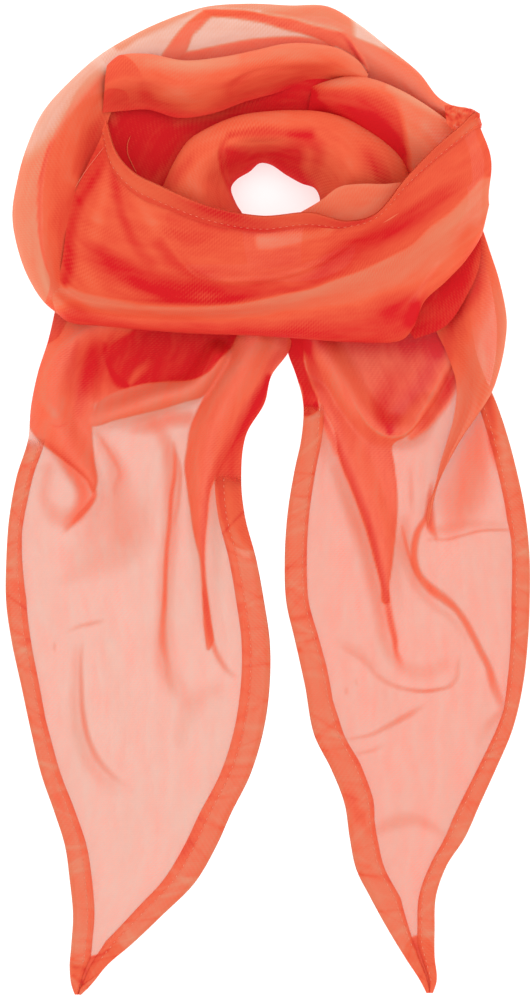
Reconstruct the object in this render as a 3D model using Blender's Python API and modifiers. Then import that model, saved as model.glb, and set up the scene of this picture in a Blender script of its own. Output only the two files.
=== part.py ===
"""A long chiffon scarf, wound into a ring and laid on a table, with its two pointed tails below the ring.

The cloth's middle lies across the front of the ring, goes up both sides and round the back, comes
forward again inside the ring round the neck opening, passes under the front and ends in the tails.
Each stretch that shows is one object: a wall of cloth lofted through a short table of sections. The
turns that nothing shows share one low rounded ring, the core.

Tables are in millimetres. X points right, Y points away from the tails and Z points up from the table.
"""

import bpy
import numpy as np

COLLECTION = "chiffon_scarf"
MM = 0.001
WALL = 1.2  # the cloth's wall
SEAM = 0.4  # clear gap between two pieces that lie on each other
SECTION_STEP = 14.0  # between two sections along a stretch
TAIL_STEP = 12.0
CORE_STEP = 14.0
FOLD_LINE_STEP = 3.0
TAIL_COLUMNS_BETWEEN_HEMS = 14
INNER_HEM_WIDTH = 16.0  # of the tails, on the edges that face each other
OUTER_HEM_WIDTH = 12.0
FRONT_HEM_WIDTH = 10.0
HEM_SHARE_AT_TIP = 0.46  # most of a tail's breadth that one hem takes
FOLD_RISE = 1.2  # makes up for what easing takes off the folds
CORE_TOP = 12.0
CORE_LAYER = 4.0  # each of the hidden layers, seen at the core's edges
CORE_LAYER_ROUNDING = 1.2

# A roll's section runs from its tuck, which turns under, over the rim and the crest to the inner edge.
ROLL_CREST_ACROSS = 0.40  # of the way from the rim to the inner edge
ROLL_RIM_HEIGHT = 0.40  # of the way from the foot to the crest
ROLL_TUCK_DEGREES = 50.0
ROLL_OUTER_STEPS = 5
ROLL_INNER_STEPS = 4

FRONT_SLOPE_STEPS = 4  # from the front hem's inner edge down to the valley
FRONT_SLOPE_POWER = 1.5  # the slope is steeper near the hem
SHEET_STEPS = 4

ROLL_COLUMNS = ("rim_x", "rim_y", "inner_x", "inner_y", "crest", "foot", "inner")

# One run of cloth: up the left side of the ring, then round its back to the right end.
LEFT_LOOP_ROWS = 9  # of the table's rows, those of the left side
OUTER_LOOP = [
    (-131.3, 115.3, -117.3, 129.3, 31, 10, 25),
    (-143, 132, -123, 142, 33, 4, 25),
    (-150, 151, -122, 154, 34, 1, 25),
    (-153, 171, -117, 172, 36, 0, 25),
    (-150, 191, -112, 189, 37, 0, 25),
    (-144, 212, -107, 211, 37, 0, 25),
    (-134, 233, -103, 230, 34, 0, 23),
    (-119, 250, -100, 243, 29, 0, 19),
    (-101, 266, -94, 252, 24, 0, 16),
    (-83, 277, -76, 250, 21, 0, 15),
    (-62, 287, -53, 248, 21, 0, 15),
    (-38, 295, -32, 248, 21, 0, 15),
    (-14, 297, -11, 249, 21, 0, 15),
    (13, 296, 13, 252, 21, 0, 15),
    (37, 295, 34, 253, 21, 0, 15),
    (54, 285, 49, 252, 21, 0, 15),
    (73, 270, 64, 246, 21, 0, 15),
    (91, 255, 80, 238, 21, 0, 15),
    (102, 241, 93, 231, 20, 0, 15),
    (110, 236, 104, 227, 23, 6, 16),
    (119, 234, 114, 223, 30, 16, 17),
    (124, 231, 120, 223, 34, 22, 28),
]

BACK_ROLL = [
    (-99, 256, -100, 236, 29, 25, 24),
    (-89, 264, -88, 233, 38, 24, 22),
    (-73, 266, -73, 233, 42, 24, 22),
    (-50, 262, -53, 228, 43, 24, 23),
    (-28, 264, -32, 231, 43, 24, 24),
    (-8, 268, -13, 238, 42, 24, 24),
    (10, 272, 5, 244, 40, 24, 24),
    (28, 272, 23, 252, 37, 24, 24),
    (45, 268, 40, 256, 33, 24, 24),
    (55, 262, 50, 256, 28, 24, 23),
]

RIGHT_ROLL = [
    (32, 250, 31, 241, 28, 20, 20),
    (46, 252, 41, 232, 36, 20, 20),
    (62, 251, 51, 222, 39, 20, 20),
    (78, 245, 63, 214, 40, 20, 20),
    (92, 237, 75, 206, 40, 20, 20),
    (106, 227, 83, 197, 38, 20, 20),
    (116, 218, 87, 187, 36, 19, 19),
    (121, 204, 89, 177, 31, 18, 18),
    (122, 189, 92, 168, 25, 17, 17),
]

NECK_ROLL = [
    (-70, 140, -12, 141, 17, 13, 1.5),
    (-70, 159, -15, 156, 22, 13, 1.5),
    (-66, 176, -15, 170, 30, 14, 1.5),
    (-62, 189, -19, 177, 34, 16, 1.5),
    (-57, 200, -22, 185, 35, 16, 1.5),
    (-48, 213, -19, 191, 36, 16, 1.5),
    (-34, 224, -11, 196, 36, 16, 1.5),
    (-17, 230, -5, 201, 36, 16, 1.5),
    (1, 232, 2, 200, 36, 16, 1.5),
    (19, 232, 11, 194, 36, 16, 1.5),
    (34, 226, 20, 189, 36, 16, 1.5),
    (47, 217, 28, 186, 35, 16, 1.5),
    (58, 207, 31, 179, 33, 16, 1.5),
    (69, 197, 26, 174, 30, 16, 1.5),
    (74, 185, 20, 168, 26, 14, 1.5),
    (75, 171, 20, 156, 20, 13, 1.5),
    (73, 154, 20, 141, 16, 13, 1.5),
]

RIGHT_SHOULDER = [
    (127, 158, 104, 143, 9, 3, 4),
    (133, 145, 102, 130, 10, 3, 4),
    (139, 130, 102, 117, 12, 3, 4),
    (143, 109, 104, 103, 14, 3, 4),
    (142, 93, 109, 88, 15, 3, 4),
    (138, 75, 113, 68, 14, 3, 4),
    (133, 62, 111, 48, 12, 3, 4),
    (126, 51, 107, 34, 10, 3, 4),
    (117, 38, 103, 21, 9, 3, 4),
    (109, 24, 100, 8, 8, 3, 4),
    (102, 9, 96, -5, 7, 3, 4),
    (97, -12, 95, -18, 5, 3, 4),
]

FRONT_LOOP_COLUMNS = (
    *("hem_x", "hem_y", "hem_z"),
    *("valley_x", "valley_y", "valley_z"),
    *("rim_x", "rim_y", "crest", "foot"),
    "bow",  # how far the slope between hem and valley bulges to the right
)
FRONT_LOOP = [
    (-99, 225, 27, -117, 129, 22, -131, 115, 31, 10, -7),
    (-96, 211, 36, -111, 122, 21, -119, 106, 32, 11, -3),
    (-86, 199, 38, -94, 117, 20, -98, 103, 32, 12, 0),
    (-65, 187, 39, -68, 115, 20, -71, 101, 33, 13, 0),
    (-35, 175, 40, -37, 115, 20, -41, 99, 34, 13, 0),
    (-4, 169, 41, -8, 118, 21, -11, 98, 35, 13, 0),
    (25, 171, 42, 20, 127, 22, 19, 96, 36, 13, 0),
    (49, 167, 42, 46, 137, 24, 49, 94, 37, 13, 0),
    (67, 176, 43, 66, 146, 26, 77, 95, 38, 15, 0),
    (82, 193, 44, 84, 154, 28, 94, 106, 38, 17, 0),
    (100, 210, 46, 102, 161, 31, 103, 121, 38, 18, 0),
    (115, 223, 47, 116, 167, 32, 115, 135, 39, 18, 1),
    (121, 229, 46, 126, 172, 33, 125, 150, 38, 18, 3),
    (124, 230, 42, 132, 176, 29, 130, 163, 33, 19, 5),
    (122, 227, 36, 128, 177, 22, 127, 165, 24, 18, 4),
]

TAIL_COLUMNS = ("left_x", "left_y", "right_x", "right_y")
LEFT_TAIL = [
    (-130, 111, 12, 102),
    (-132, 95, 10, 90),
    (-138, 76, 2, 74),
    (-142, 57, -2, 58),
    (-144, 36, -13, 39),
    (-151, 13, -16, 12),
    (-155, -9, -14, -9),
    (-157, -36, -7, -36),
    (-157, -63, -2, -63),
    (-154, -84, 1, -84),
    (-148, -112, 1, -112),
    (-142, -140, -3, -140),
    (-136, -165, -11, -166),
    (-128, -188, -22, -188),
    (-122, -207, -31, -208),
    (-119, -228, -44, -230),
    (-117, -249, -63, -249),
    (-118, -267, -82, -267),
    (-119, -281, -97, -280),
    (-118, -291, -106, -291),
    (-116, -297, -112, -297),
]
RIGHT_TAIL = [
    (14, 102, 121, 102),
    (12, 88, 125, 88),
    (17, 74, 130, 74),
    (21, 58, 137, 58),
    (20, 37, 144, 37),
    (16, 18, 149, 18),
    (12, -6, 154, -6),
    (10, -36, 157, -36),
    (11, -62, 157, -62),
    (16, -84, 156, -84),
    (22, -111, 153, -111),
    (28, -142, 146, -140),
    (38, -162, 137, -161),
    (46, -183, 127, -183),
    (49, -203, 118, -203),
    (53, -222, 107, -220),
    (61, -238, 101, -237),
    (72, -258, 100, -258),
    (83, -276, 100, -274),
    (92, -290, 101, -290),
    (95, -296, 99, -296),
]

FOLD_COLUMNS = ("x", "y", "half_width", "height")
LEFT_TAIL_FOLDS = {
    "cowl": [
        (-90, 108, 18, 7),
        (-118, 92, 17, 8),
        (-128, 70, 16, 8),
        (-127, 48, 15, 7),
        (-117, 26, 14, 6),
        (-106, 6, 12, 4),
        (-112, -16, 10, 1),
    ],
    "lip": [
        (-104, 48, 11, 3),
        (-88, 53, 12, 7),
        (-68, 60, 12, 8),
        (-44, 68, 12, 8),
        (-30, 86, 12, 8),
    ],
    "right_fold": [
        (-8, 104, 17, 8),
        (-14, 80, 17, 9),
        (-24, 60, 16, 9),
        (-33, 40, 15, 8),
        (-37, 20, 14, 7),
        (-38, -4, 13, 6),
        (-37, -36, 12, 4),
        (-36, -66, 11, 2),
        (-31, -92, 10, 1),
    ],
    "middle_crease": [
        (-58, 33, 10, 1),
        (-55, 10, 10, 3),
        (-58, -14, 10, 3),
        (-61, -54, 10, 3),
        (-61, -106, 10, 1),
    ],
}
RIGHT_TAIL_FOLDS = {
    "cowl": [
        (22, 104, 15, 8),
        (38, 80, 15, 9),
        (54, 55, 14, 8),
        (70, 42, 13, 8),
        (86, 42, 13, 7),
        (95, 56, 11, 4),
    ],
    "lobe": [
        (30, 62, 14, 6),
        (44, 32, 15, 6),
        (55, 6, 16, 6),
        (65, -18, 15, 6),
        (70, -46, 13, 4),
        (74, -78, 10, 1),
    ],
    "turned_crease": [
        (96, -30, 10, 2),
        (93, -44, 10, 3),
        (103, -62, 10, 3),
        (119, -78, 10, 3),
        (130, -100, 10, 2),
        (138, -122, 10, 1),
    ],
    "arc": [
        (56, -106, 10, 1),
        (74, -112, 10, 3),
        (94, -114, 10, 3),
        (112, -108, 10, 1),
    ],
}

SHEET_COLUMNS = ("outer_x", "outer_y", "outer_z", "inner_x", "inner_y", "inner_z")
# The cloth seen down between the rolls: it lies on the core and goes under the rolls on both sides.
INNER_TURN = [
    (-106, 172, 17, -64, 163, 13.6),
    (-108, 190, 17, -60, 180, 13.6),
    (-106, 210, 17, -57, 192, 13.6),
    (-98, 231, 17, -48, 207, 13.6),
    (-80, 243, 17, -38, 219, 13.6),
    (-55, 242, 17, -26, 226, 13.6),
    (-28, 245, 17, -12, 229, 13.6),
    (2, 253, 18, 2, 229, 13.6),
    (30, 255, 18, 19, 228, 13.6),
    (54, 252, 18, 34, 221, 13.6),
    (74, 236, 18, 48, 211, 13.6),
    (94, 216, 17, 60, 200, 13.6),
    (102, 194, 16, 68, 190, 13.6),
    (98, 176, 15, 72, 180, 13.6),
]

# The short end of the neck roll's cloth, right of the neck opening.
NECK_FLAP = [
    (19, 171, 33, 23, 160, 27),
    (31, 178, 34, 34, 157, 27),
    (42, 186, 35, 46, 158, 27),
    (55, 188, 36, 60, 162, 28),
    (70, 188, 35, 73, 167, 28),
    (79, 189, 34, 81, 173, 27),
]
# The dark layer under the right end of the front roll.
LOWER_FOLD = [
    (131, 152, 14, 122, 162, 14),
    (127, 135, 14, 112, 148, 14),
    (116, 117, 14, 101, 136, 14),
    (104, 100, 13.4, 90, 118, 13.6),
    (88, 96, 13, 80, 108, 13.4),
]

CORE_COLUMNS = ("outer_x", "outer_y", "inner_x", "inner_y")
CORE = [
    (-122, 127, -50, 138),
    (-131, 142, -48, 160),
    (-134, 171, -47, 177),
    (-132, 198, -44, 192),
    (-124, 221, -36, 202),
    (-109, 239, -28, 210),
    (-88, 246, -20, 213),
    (-56, 246, -12, 216),
    (-23, 246, -5, 218),
    (13, 248, 5, 217),
    (44, 246, 17, 211),
    (74, 234, 28, 204),
    (98, 216, 40, 196),
    (114, 198, 50, 186),
    (119, 180, 53, 172),
    (110, 158, 54, 156),
    (94, 134, 50, 142),
    (76, 112, 38, 134),
    (43, 106, 20, 130),
    (-5, 106, -2, 130),
    (-53, 110, -24, 130),
    (-95, 113, -42, 132),
]

CORAL = (0.80, 0.13, 0.055)
HEM_CORAL = (0.72, 0.10, 0.045)
DEEP_CORAL = (0.62, 0.06, 0.035)


def smooth(rows, step):
    """The table's columns read along a smooth curve through its rows, about step mm apart."""
    rows = np.array(rows, float)
    chords = np.linalg.norm(np.diff(rows, axis=0), axis=1)
    knots = np.concatenate([[0.0], np.cumsum(chords)])
    slopes = np.gradient(rows, knots, axis=0)
    places = np.linspace(0.0, knots[-1], max(2, round(knots[-1] / step)) + 1)
    first = np.clip(np.searchsorted(knots, places, side="right") - 1, 0, len(chords) - 1)
    length = chords[first][:, None]
    t = (places[:, None] - knots[first][:, None]) / length
    start, end = rows[first], rows[first + 1]
    leave, arrive = slopes[first] * length, slopes[first + 1] * length
    return (
        start * (2 * t**3 - 3 * t**2 + 1)
        + leave * (t**3 - 2 * t**2 + t)
        + end * (3 * t**2 - 2 * t**3)
        + arrive * (t**3 - t**2)
    )


def columns(rows, names):
    """A smoothed table as a dictionary of its columns."""
    return dict(zip(names, np.array(rows, float).T))


def roll_outer_side():
    """(across, height) from the tuck to the crest.

    Across is 0 at the rim. Height is 0 at the foot and 1 at the crest.
    """
    angles = np.radians(np.linspace(-ROLL_TUCK_DEGREES, 90.0, ROLL_OUTER_STEPS + 1))
    deepest = np.sin(np.radians(ROLL_TUCK_DEGREES))
    across = ROLL_CREST_ACROSS * (1 - np.cos(angles))
    below = ROLL_RIM_HEIGHT * (1 + np.sin(angles) / deepest)
    above = ROLL_RIM_HEIGHT + (1 - ROLL_RIM_HEIGHT) * np.sin(angles)
    return across, np.where(angles < 0, below, above)


def roll_inner_side():
    """(across, height) from just past the crest to the inner edge, where height is 0."""
    part = np.linspace(0.0, 1.0, ROLL_INNER_STEPS + 1)[1:]
    across = ROLL_CREST_ACROSS + (1 - ROLL_CREST_ACROSS) * part
    return across, 0.5 * (1 + np.cos(np.pi * part))


def blend(start, end, share):
    """Points between two rows of points, one column for each share of the way."""
    return start[:, None] + (end - start)[:, None] * share[None, :]


def roll_surface(table):
    """Grid of points, one row for each section, over a rolled stretch of cloth."""
    at = columns(smooth(table, SECTION_STEP), ROLL_COLUMNS)
    outer_across, outer_height = roll_outer_side()
    inner_across, inner_height = roll_inner_side()
    across = np.concatenate([outer_across, inner_across])
    outer_z = blend(at["foot"], at["crest"], outer_height)
    inner_z = blend(at["inner"], at["crest"], inner_height)
    return np.stack(
        [
            blend(at["rim_x"], at["inner_x"], across),
            blend(at["rim_y"], at["inner_y"], across),
            np.maximum(np.concatenate([outer_z, inner_z], axis=1), 0.0),
        ],
        axis=-1,
    )


def sheet_surface(table):
    """Grid over a plain stretch that slopes from its outer edge to its inner one."""
    at = columns(smooth(table, SECTION_STEP), SHEET_COLUMNS)
    share = np.linspace(0.0, 1.0, SHEET_STEPS + 1)
    settled = 0.5 - 0.5 * np.cos(np.pi * share)
    return np.stack(
        [
            blend(at["outer_x"], at["inner_x"], share),
            blend(at["outer_y"], at["inner_y"], share),
            blend(at["outer_z"], at["inner_z"], settled),
        ],
        axis=-1,
    )


def outer_loop_surfaces():
    """The left and the back stretch of one run of cloth, parted by a seam's width."""
    grid = roll_surface(OUTER_LOOP)
    corner = np.array(OUTER_LOOP[LEFT_LOOP_ROWS - 1][:2])
    last = np.linalg.norm(grid[:, :, :2] - corner, axis=-1).min(axis=1).argmin()
    left, back = grid[: last + 1], grid[last:].copy()
    along = back[1] - back[0]
    back[0] += SEAM * along / np.linalg.norm(along, axis=-1, keepdims=True)
    return left, back


def front_loop_surface():
    """The front stretch: from its hemmed edge down into the valley, then up over the roll and under it."""
    at = columns(smooth(FRONT_LOOP, SECTION_STEP), FRONT_LOOP_COLUMNS)
    drop = np.hypot(at["valley_x"] - at["hem_x"], at["valley_y"] - at["hem_y"])
    hem_share = FRONT_HEM_WIDTH / drop
    below_hem = np.linspace(0.0, 1.0, FRONT_SLOPE_STEPS + 1)
    share = np.column_stack([0 * drop, hem_share[:, None] + (1 - hem_share)[:, None] * below_hem])
    fall = (1 - share) ** FRONT_SLOPE_POWER
    bow = at["bow"][:, None] * np.sin(np.pi * share) ** 2
    slope = np.stack(
        [
            at["hem_x"][:, None] + (at["valley_x"] - at["hem_x"])[:, None] * share + bow,
            at["hem_y"][:, None] + (at["valley_y"] - at["hem_y"])[:, None] * share,
            at["valley_z"][:, None] + (at["hem_z"] - at["valley_z"])[:, None] * fall,
        ],
        axis=-1,
    )
    outer_across, outer_height = roll_outer_side()
    inner_across, inner_height = roll_inner_side()
    across = np.concatenate([inner_across[-2::-1], outer_across[::-1]])
    inner_z = blend(at["valley_z"], at["crest"], inner_height[-2::-1])
    outer_z = blend(at["foot"], at["crest"], outer_height[::-1])
    roll = np.stack(
        [
            blend(at["rim_x"], at["valley_x"], across),
            blend(at["rim_y"], at["valley_y"], across),
            np.concatenate([inner_z, outer_z], axis=1),
        ],
        axis=-1,
    )
    return np.concatenate([slope, roll], axis=1)


def fold_height(points, fold):
    """Height that one fold, a ridge along a smooth line, adds at each point of a tail."""
    line = smooth(fold, FOLD_LINE_STEP)
    away = np.linalg.norm(points[..., None, :] - line[:, :2], axis=-1)
    near = away.argmin(axis=-1)
    distance = np.take_along_axis(away, near[..., None], axis=-1)[..., 0]
    share = np.clip(distance / line[near, 2], 0.0, 1.0)
    return line[near, 3] * (0.5 + 0.5 * np.cos(np.pi * share))


def eased(height):
    """A grid of heights with each value averaged with its neighbours along the rows, then the columns."""
    for _ in range(2):
        edged = np.pad(height, ((1, 1), (0, 0)), mode="edge")
        height = (0.25 * edged[:-2] + 0.5 * edged[1:-1] + 0.25 * edged[2:]).T
    return height


def tail_surface(table, folds, left_hem, right_hem):
    """Grid over one tail, flat on the table but for its folds.

    Its second columns from each side are where the hems end.
    """
    at = columns(smooth(table, TAIL_STEP), TAIL_COLUMNS)
    left = np.stack([at["left_x"], at["left_y"]], axis=-1)
    right = np.stack([at["right_x"], at["right_y"]], axis=-1)
    breadth = np.linalg.norm(right - left, axis=1)
    left_share = np.minimum(left_hem / breadth, HEM_SHARE_AT_TIP)
    right_share = np.minimum(right_hem / breadth, HEM_SHARE_AT_TIP)
    between = np.linspace(0.0, 1.0, TAIL_COLUMNS_BETWEEN_HEMS + 1)
    inside = left_share[:, None] + (1 - right_share - left_share)[:, None] * between
    share = np.concatenate([0 * inside[:, :1], inside, 0 * inside[:, :1] + 1], axis=1)
    plan = left[:, None, :] + (right - left)[:, None, :] * share[..., None]
    height = np.zeros(plan.shape[:2])
    for fold in folds.values():
        height = np.maximum(height, fold_height(plan, fold))
    height = FOLD_RISE * eased(height)
    return np.concatenate([plan, height[..., None] + WALL], axis=-1)


def normals(grid):
    """Unit normals of a grid, by the order of its rows and columns."""
    normal = np.cross(np.gradient(grid, axis=1), np.gradient(grid, axis=0))
    return normal / np.linalg.norm(normal, axis=-1, keepdims=True)


def upward(grid):
    """1 where the grid's normals point up on the whole, or else -1."""
    return np.sign(normals(grid)[..., 2].mean())


def moved_out(grid, distance):
    """A grid of points moved out along its own normals."""
    return grid + distance * upward(grid) * normals(grid)


def material(name, colour, roughness=0.75):
    """A woven cloth's plain finish."""
    made = bpy.data.materials.new(name)
    made.use_nodes = True
    shader = made.node_tree.nodes["Principled BSDF"]
    shader.inputs["Base Color"].default_value = (*colour, 1.0)
    shader.inputs["Roughness"].default_value = roughness
    shader.inputs["Metallic"].default_value = 0.0
    shader.inputs["Sheen Weight"].default_value = 0.3
    return made


def add_object(name, points, faces, colour):
    """A smooth-shaded mesh object in the scarf's collection, from points in millimetres."""
    mesh = bpy.data.meshes.new(name)
    mesh.from_pydata((np.asarray(points) * MM).tolist(), [], faces)
    mesh.update()
    mesh.shade_smooth()
    made = bpy.data.objects.new(name, mesh)
    made.data.materials.append(material(name, colour))
    bpy.data.collections[COLLECTION].objects.link(made)
    return made


def grid_faces(rows, across, closed=False):
    """Four-sided faces over a grid, whose rows and columns both join up again if it is closed."""
    faces = []
    for row in range(rows if closed else rows - 1):
        for column in range(across if closed else across - 1):
            here, after = row * across, (row + 1) % rows * across
            beside = (column + 1) % across
            faces.append((here + column, here + beside, after + beside, after + column))
    return faces


def add_cloth(name, grid, colour):
    """A wall of cloth whose outer face passes through the grid of points."""
    rows, across = grid.shape[:2]
    faces = grid_faces(rows, across)
    if upward(grid) < 0:
        faces = [face[::-1] for face in faces]
    made = add_object(name, grid.reshape(-1, 3), faces, colour)
    wall = made.modifiers.new("wall", "SOLIDIFY")
    wall.thickness = WALL * MM
    wall.offset = -1.0
    return made


def add_hem(name, grid, colour=HEM_CORAL):
    """A doubled edge, made from the points of the cloth that it lies on."""
    return add_cloth(name, moved_out(grid, WALL + SEAM), colour)


def core_section():
    """(across, height) round the core's section: a flat foot, layered sides and a rounded top."""
    side = [(0.0, 0.0)]
    layers = round(CORE_TOP / CORE_LAYER)
    for layer in range(layers):
        low = layer * CORE_LAYER
        side.append((-CORE_LAYER_ROUNDING, low + CORE_LAYER * 0.5))
        if layer < layers - 1:
            side.append((0.0, low + CORE_LAYER))
    shoulder = [(CORE_LAYER_ROUNDING, CORE_TOP - 0.6), (3 * CORE_LAYER_ROUNDING, CORE_TOP)]
    return side + shoulder


def add_core():
    """The hidden turns of the scarf as one low ring round the neck opening."""
    at = columns(smooth(CORE + CORE[:1], CORE_STEP)[:-1], CORE_COLUMNS)
    outer = np.stack([at["outer_x"], at["outer_y"]], axis=-1)
    inner = np.stack([at["inner_x"], at["inner_y"]], axis=-1)
    inward = (inner - outer) / np.linalg.norm(inner - outer, axis=1, keepdims=True)
    section = core_section()
    loops = [(outer + inward * across, height) for across, height in section]
    loops += [(inner - inward * across, height) for across, height in reversed(section)]
    points = np.stack([np.insert(plan, 2, height, axis=1) for plan, height in loops], axis=1)
    faces = grid_faces(*points.shape[:2], closed=True)
    return add_object("core", points.reshape(-1, 3), faces, DEEP_CORAL)


def add_tail(side, table, folds, left_hem, right_hem, inner_is_right):
    """One tail with the hems along its two long edges."""
    grid = tail_surface(table, folds, left_hem, right_hem)
    add_cloth(f"{side}_tail", grid, CORAL)
    left_name, right_name = ("outer", "inner") if inner_is_right else ("inner", "outer")
    add_hem(f"{side}_tail_{left_name}_hem", grid[:, :2])
    add_hem(f"{side}_tail_{right_name}_hem", grid[:, -2:])


def clear_scene():
    for existing in list(bpy.data.objects):
        bpy.data.objects.remove(existing, do_unlink=True)
    made = bpy.data.collections.new(COLLECTION)
    bpy.context.scene.collection.children.link(made)


def main():
    clear_scene()
    add_core()
    add_tail("left", LEFT_TAIL, LEFT_TAIL_FOLDS, OUTER_HEM_WIDTH, INNER_HEM_WIDTH, inner_is_right=True)
    add_tail("right", RIGHT_TAIL, RIGHT_TAIL_FOLDS, INNER_HEM_WIDTH, OUTER_HEM_WIDTH, inner_is_right=False)
    add_cloth("right_shoulder", roll_surface(RIGHT_SHOULDER), CORAL)
    left_loop, back_loop = outer_loop_surfaces()
    add_cloth("left_loop", left_loop, CORAL)
    add_cloth("back_loop", back_loop, CORAL)
    add_cloth("inner_turn", sheet_surface(INNER_TURN), DEEP_CORAL)
    add_cloth("back_roll", roll_surface(BACK_ROLL), CORAL)
    add_cloth("right_roll", roll_surface(RIGHT_ROLL), CORAL)
    add_cloth("neck_roll", roll_surface(NECK_ROLL), CORAL)
    add_cloth("neck_flap", sheet_surface(NECK_FLAP), CORAL)
    add_cloth("lower_fold", sheet_surface(LOWER_FOLD), DEEP_CORAL)
    front = front_loop_surface()
    add_cloth("front_loop", front, CORAL)
    add_hem("front_hem", front[:-2, :2])


main()
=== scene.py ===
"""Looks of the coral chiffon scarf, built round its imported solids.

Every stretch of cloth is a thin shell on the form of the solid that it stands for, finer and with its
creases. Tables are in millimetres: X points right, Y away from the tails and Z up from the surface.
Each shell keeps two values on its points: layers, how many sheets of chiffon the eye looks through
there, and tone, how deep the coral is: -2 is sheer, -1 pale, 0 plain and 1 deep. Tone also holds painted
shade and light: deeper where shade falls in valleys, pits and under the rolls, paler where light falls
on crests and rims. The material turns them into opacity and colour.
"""

import bpy
import numpy as np
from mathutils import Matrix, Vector


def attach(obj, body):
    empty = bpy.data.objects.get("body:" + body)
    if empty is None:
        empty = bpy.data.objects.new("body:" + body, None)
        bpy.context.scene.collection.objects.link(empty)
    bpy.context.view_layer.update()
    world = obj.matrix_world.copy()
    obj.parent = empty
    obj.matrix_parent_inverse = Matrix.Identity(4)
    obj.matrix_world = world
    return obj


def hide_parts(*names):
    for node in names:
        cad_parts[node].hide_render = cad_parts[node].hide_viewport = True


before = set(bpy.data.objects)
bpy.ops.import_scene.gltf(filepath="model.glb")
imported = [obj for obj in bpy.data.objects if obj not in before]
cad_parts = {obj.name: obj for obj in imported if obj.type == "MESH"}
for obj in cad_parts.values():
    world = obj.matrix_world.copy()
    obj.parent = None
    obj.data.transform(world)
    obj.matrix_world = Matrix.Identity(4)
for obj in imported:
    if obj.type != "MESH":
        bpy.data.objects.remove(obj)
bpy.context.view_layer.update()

COLLECTION = "chiffon_scarf"
MM = 0.001
UPWARD = (0.0, 0.0, 1.0)

# Spacing of the points of a shell.
SECTION_STEP = 1.0
TAIL_STEP = 1.2
ACROSS_STEP = 1.0
LINE_STEP = 1.6

SHEET_LIFT = 0.5  # a tail's cloth above the surface that it lies on
LAYER_GAP = 0.7  # between two layers that lie on each other
FOLD_RISE = 1.15  # how much higher a tail's main folds stand than their ridges say

# A roll's section runs from its tuck, which turns under, over the rim and the crest to the inner edge.
ROLL_CREST_ACROSS = 0.40
ROLL_RIM_HEIGHT = 0.40
ROLL_TUCK_DEGREES = 50.0
ROLL_OUTER_STEPS = 30
ROLL_INNER_STEPS = 34
FRONT_SLOPE_STEPS = 40
FRONT_SLOPE_POWER = 1.5
SHEET_STEPS = 24

# Rolls, a row for each section: x and y of the rim and of the inner edge, then the heights of the crest,
# the foot of the tuck and the inner edge. The outer loop's first rows are the left loop.
LEFT_LOOP_ROWS = 10
OUTER_LOOP = [
    (-123, 109, -117, 119, 25, 8, 20),
    (-133.5, 117.5, -122, 126, 29, 8, 21),
    (-143, 132, -121, 137, 33, 4, 20),
    (-150, 151, -117, 154, 34, 1, 20),
    (-153, 171, -109, 172, 36, 0, 20),
    (-150, 191, -104, 189, 37, 0, 20),
    (-144, 212, -98, 210, 37, 0, 20),
    (-134, 233, -95, 228, 34, 0, 20),
    (-119, 250, -90, 238, 29, 0, 19),
    (-101, 266, -86, 245, 24, 0, 16),
    (-83, 277, -74, 249, 21, 0, 15),
    (-62, 287, -53, 248, 21, 0, 15),
    (-38, 295, -32, 248, 21, 0, 15),
    (-14, 297, -11, 249, 21, 0, 15),
    (13, 296, 13, 252, 21, 0, 15),
    (37, 295, 34, 253, 21, 0, 15),
    (54, 285, 49, 252, 21, 0, 15),
    (73, 270, 64, 246, 21, 0, 15),
    (91, 255, 80, 238, 21, 0, 15),
    (102, 241, 93, 231, 20, 0, 15),
    (110, 236, 104, 227, 23, 6, 16),
    (119, 234, 114, 223, 30, 16, 17),
    (124, 231, 120, 223, 34, 22, 28),
]
BACK_ROLL = [
    (-96, 259, -99, 231, 28, 25, 22),
    (-88, 265, -88, 232, 35, 23, 21),
    (-73, 266, -73, 233, 38, 22, 21),
    (-50, 262, -53, 228, 39, 22, 21),
    (-28, 264, -32, 231, 39, 22, 20),
    (-8, 268, -13, 238, 38, 22, 19),
    (10, 272, 5, 243, 36, 22, 18),
    (28, 272, 23, 249, 34, 22, 17),
    (45, 268, 40, 249, 31, 22, 17),
    (54, 262, 48, 247, 28, 21, 17),
    (60, 254, 57, 247, 24, 20, 17),
]
RIGHT_ROLL = [
    (26, 247, 24, 231, 17.2, 16, 16.2),
    (38, 251, 32, 226, 25, 18, 15.5),
    (50, 253, 41, 220, 31, 19, 15),
    (63, 251, 51, 212, 34, 19, 14.5),
    (78, 245, 62, 205, 36, 20, 14.5),
    (92, 237, 73, 197, 37, 20, 14.5),
    (106, 227, 80, 189, 36, 20, 14.5),
    (116, 218, 84, 182, 34, 19, 14.5),
    (121, 204, 87, 174, 31, 18, 15),
    (122, 189, 91, 167, 25, 17, 16),
]
NECK_ROLL = [
    (-72, 140, -12, 141, 17, 13, 8),
    (-71, 159, -15, 156, 22, 13, 12),
    (-67, 176, -15, 170, 28, 14, 15),
    (-62, 189, -19, 177, 31, 16, 16),
    (-57, 200, -22, 185, 32, 16, 16),
    (-48, 214, -19, 191, 33, 16, 16),
    (-34, 223, -11, 196, 33, 16, 16),
    (-17, 229.5, -5, 201, 33, 16, 16),
    (1, 232, 2, 200, 33, 16, 16),
    (19, 232.5, 11, 194, 33, 16, 16),
    (33, 231.5, 20, 189, 33, 16, 16),
    (46, 228, 28, 186, 32, 16, 16),
    (58, 222, 31, 179, 31, 16, 15),
    (70, 214, 28, 172, 30, 16, 14),
    (80, 204, 22, 164, 27, 15, 12),
    (85, 190, 20, 154, 22, 14, 10),
    (78, 164, 20, 141, 16, 13, 8),
]
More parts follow.
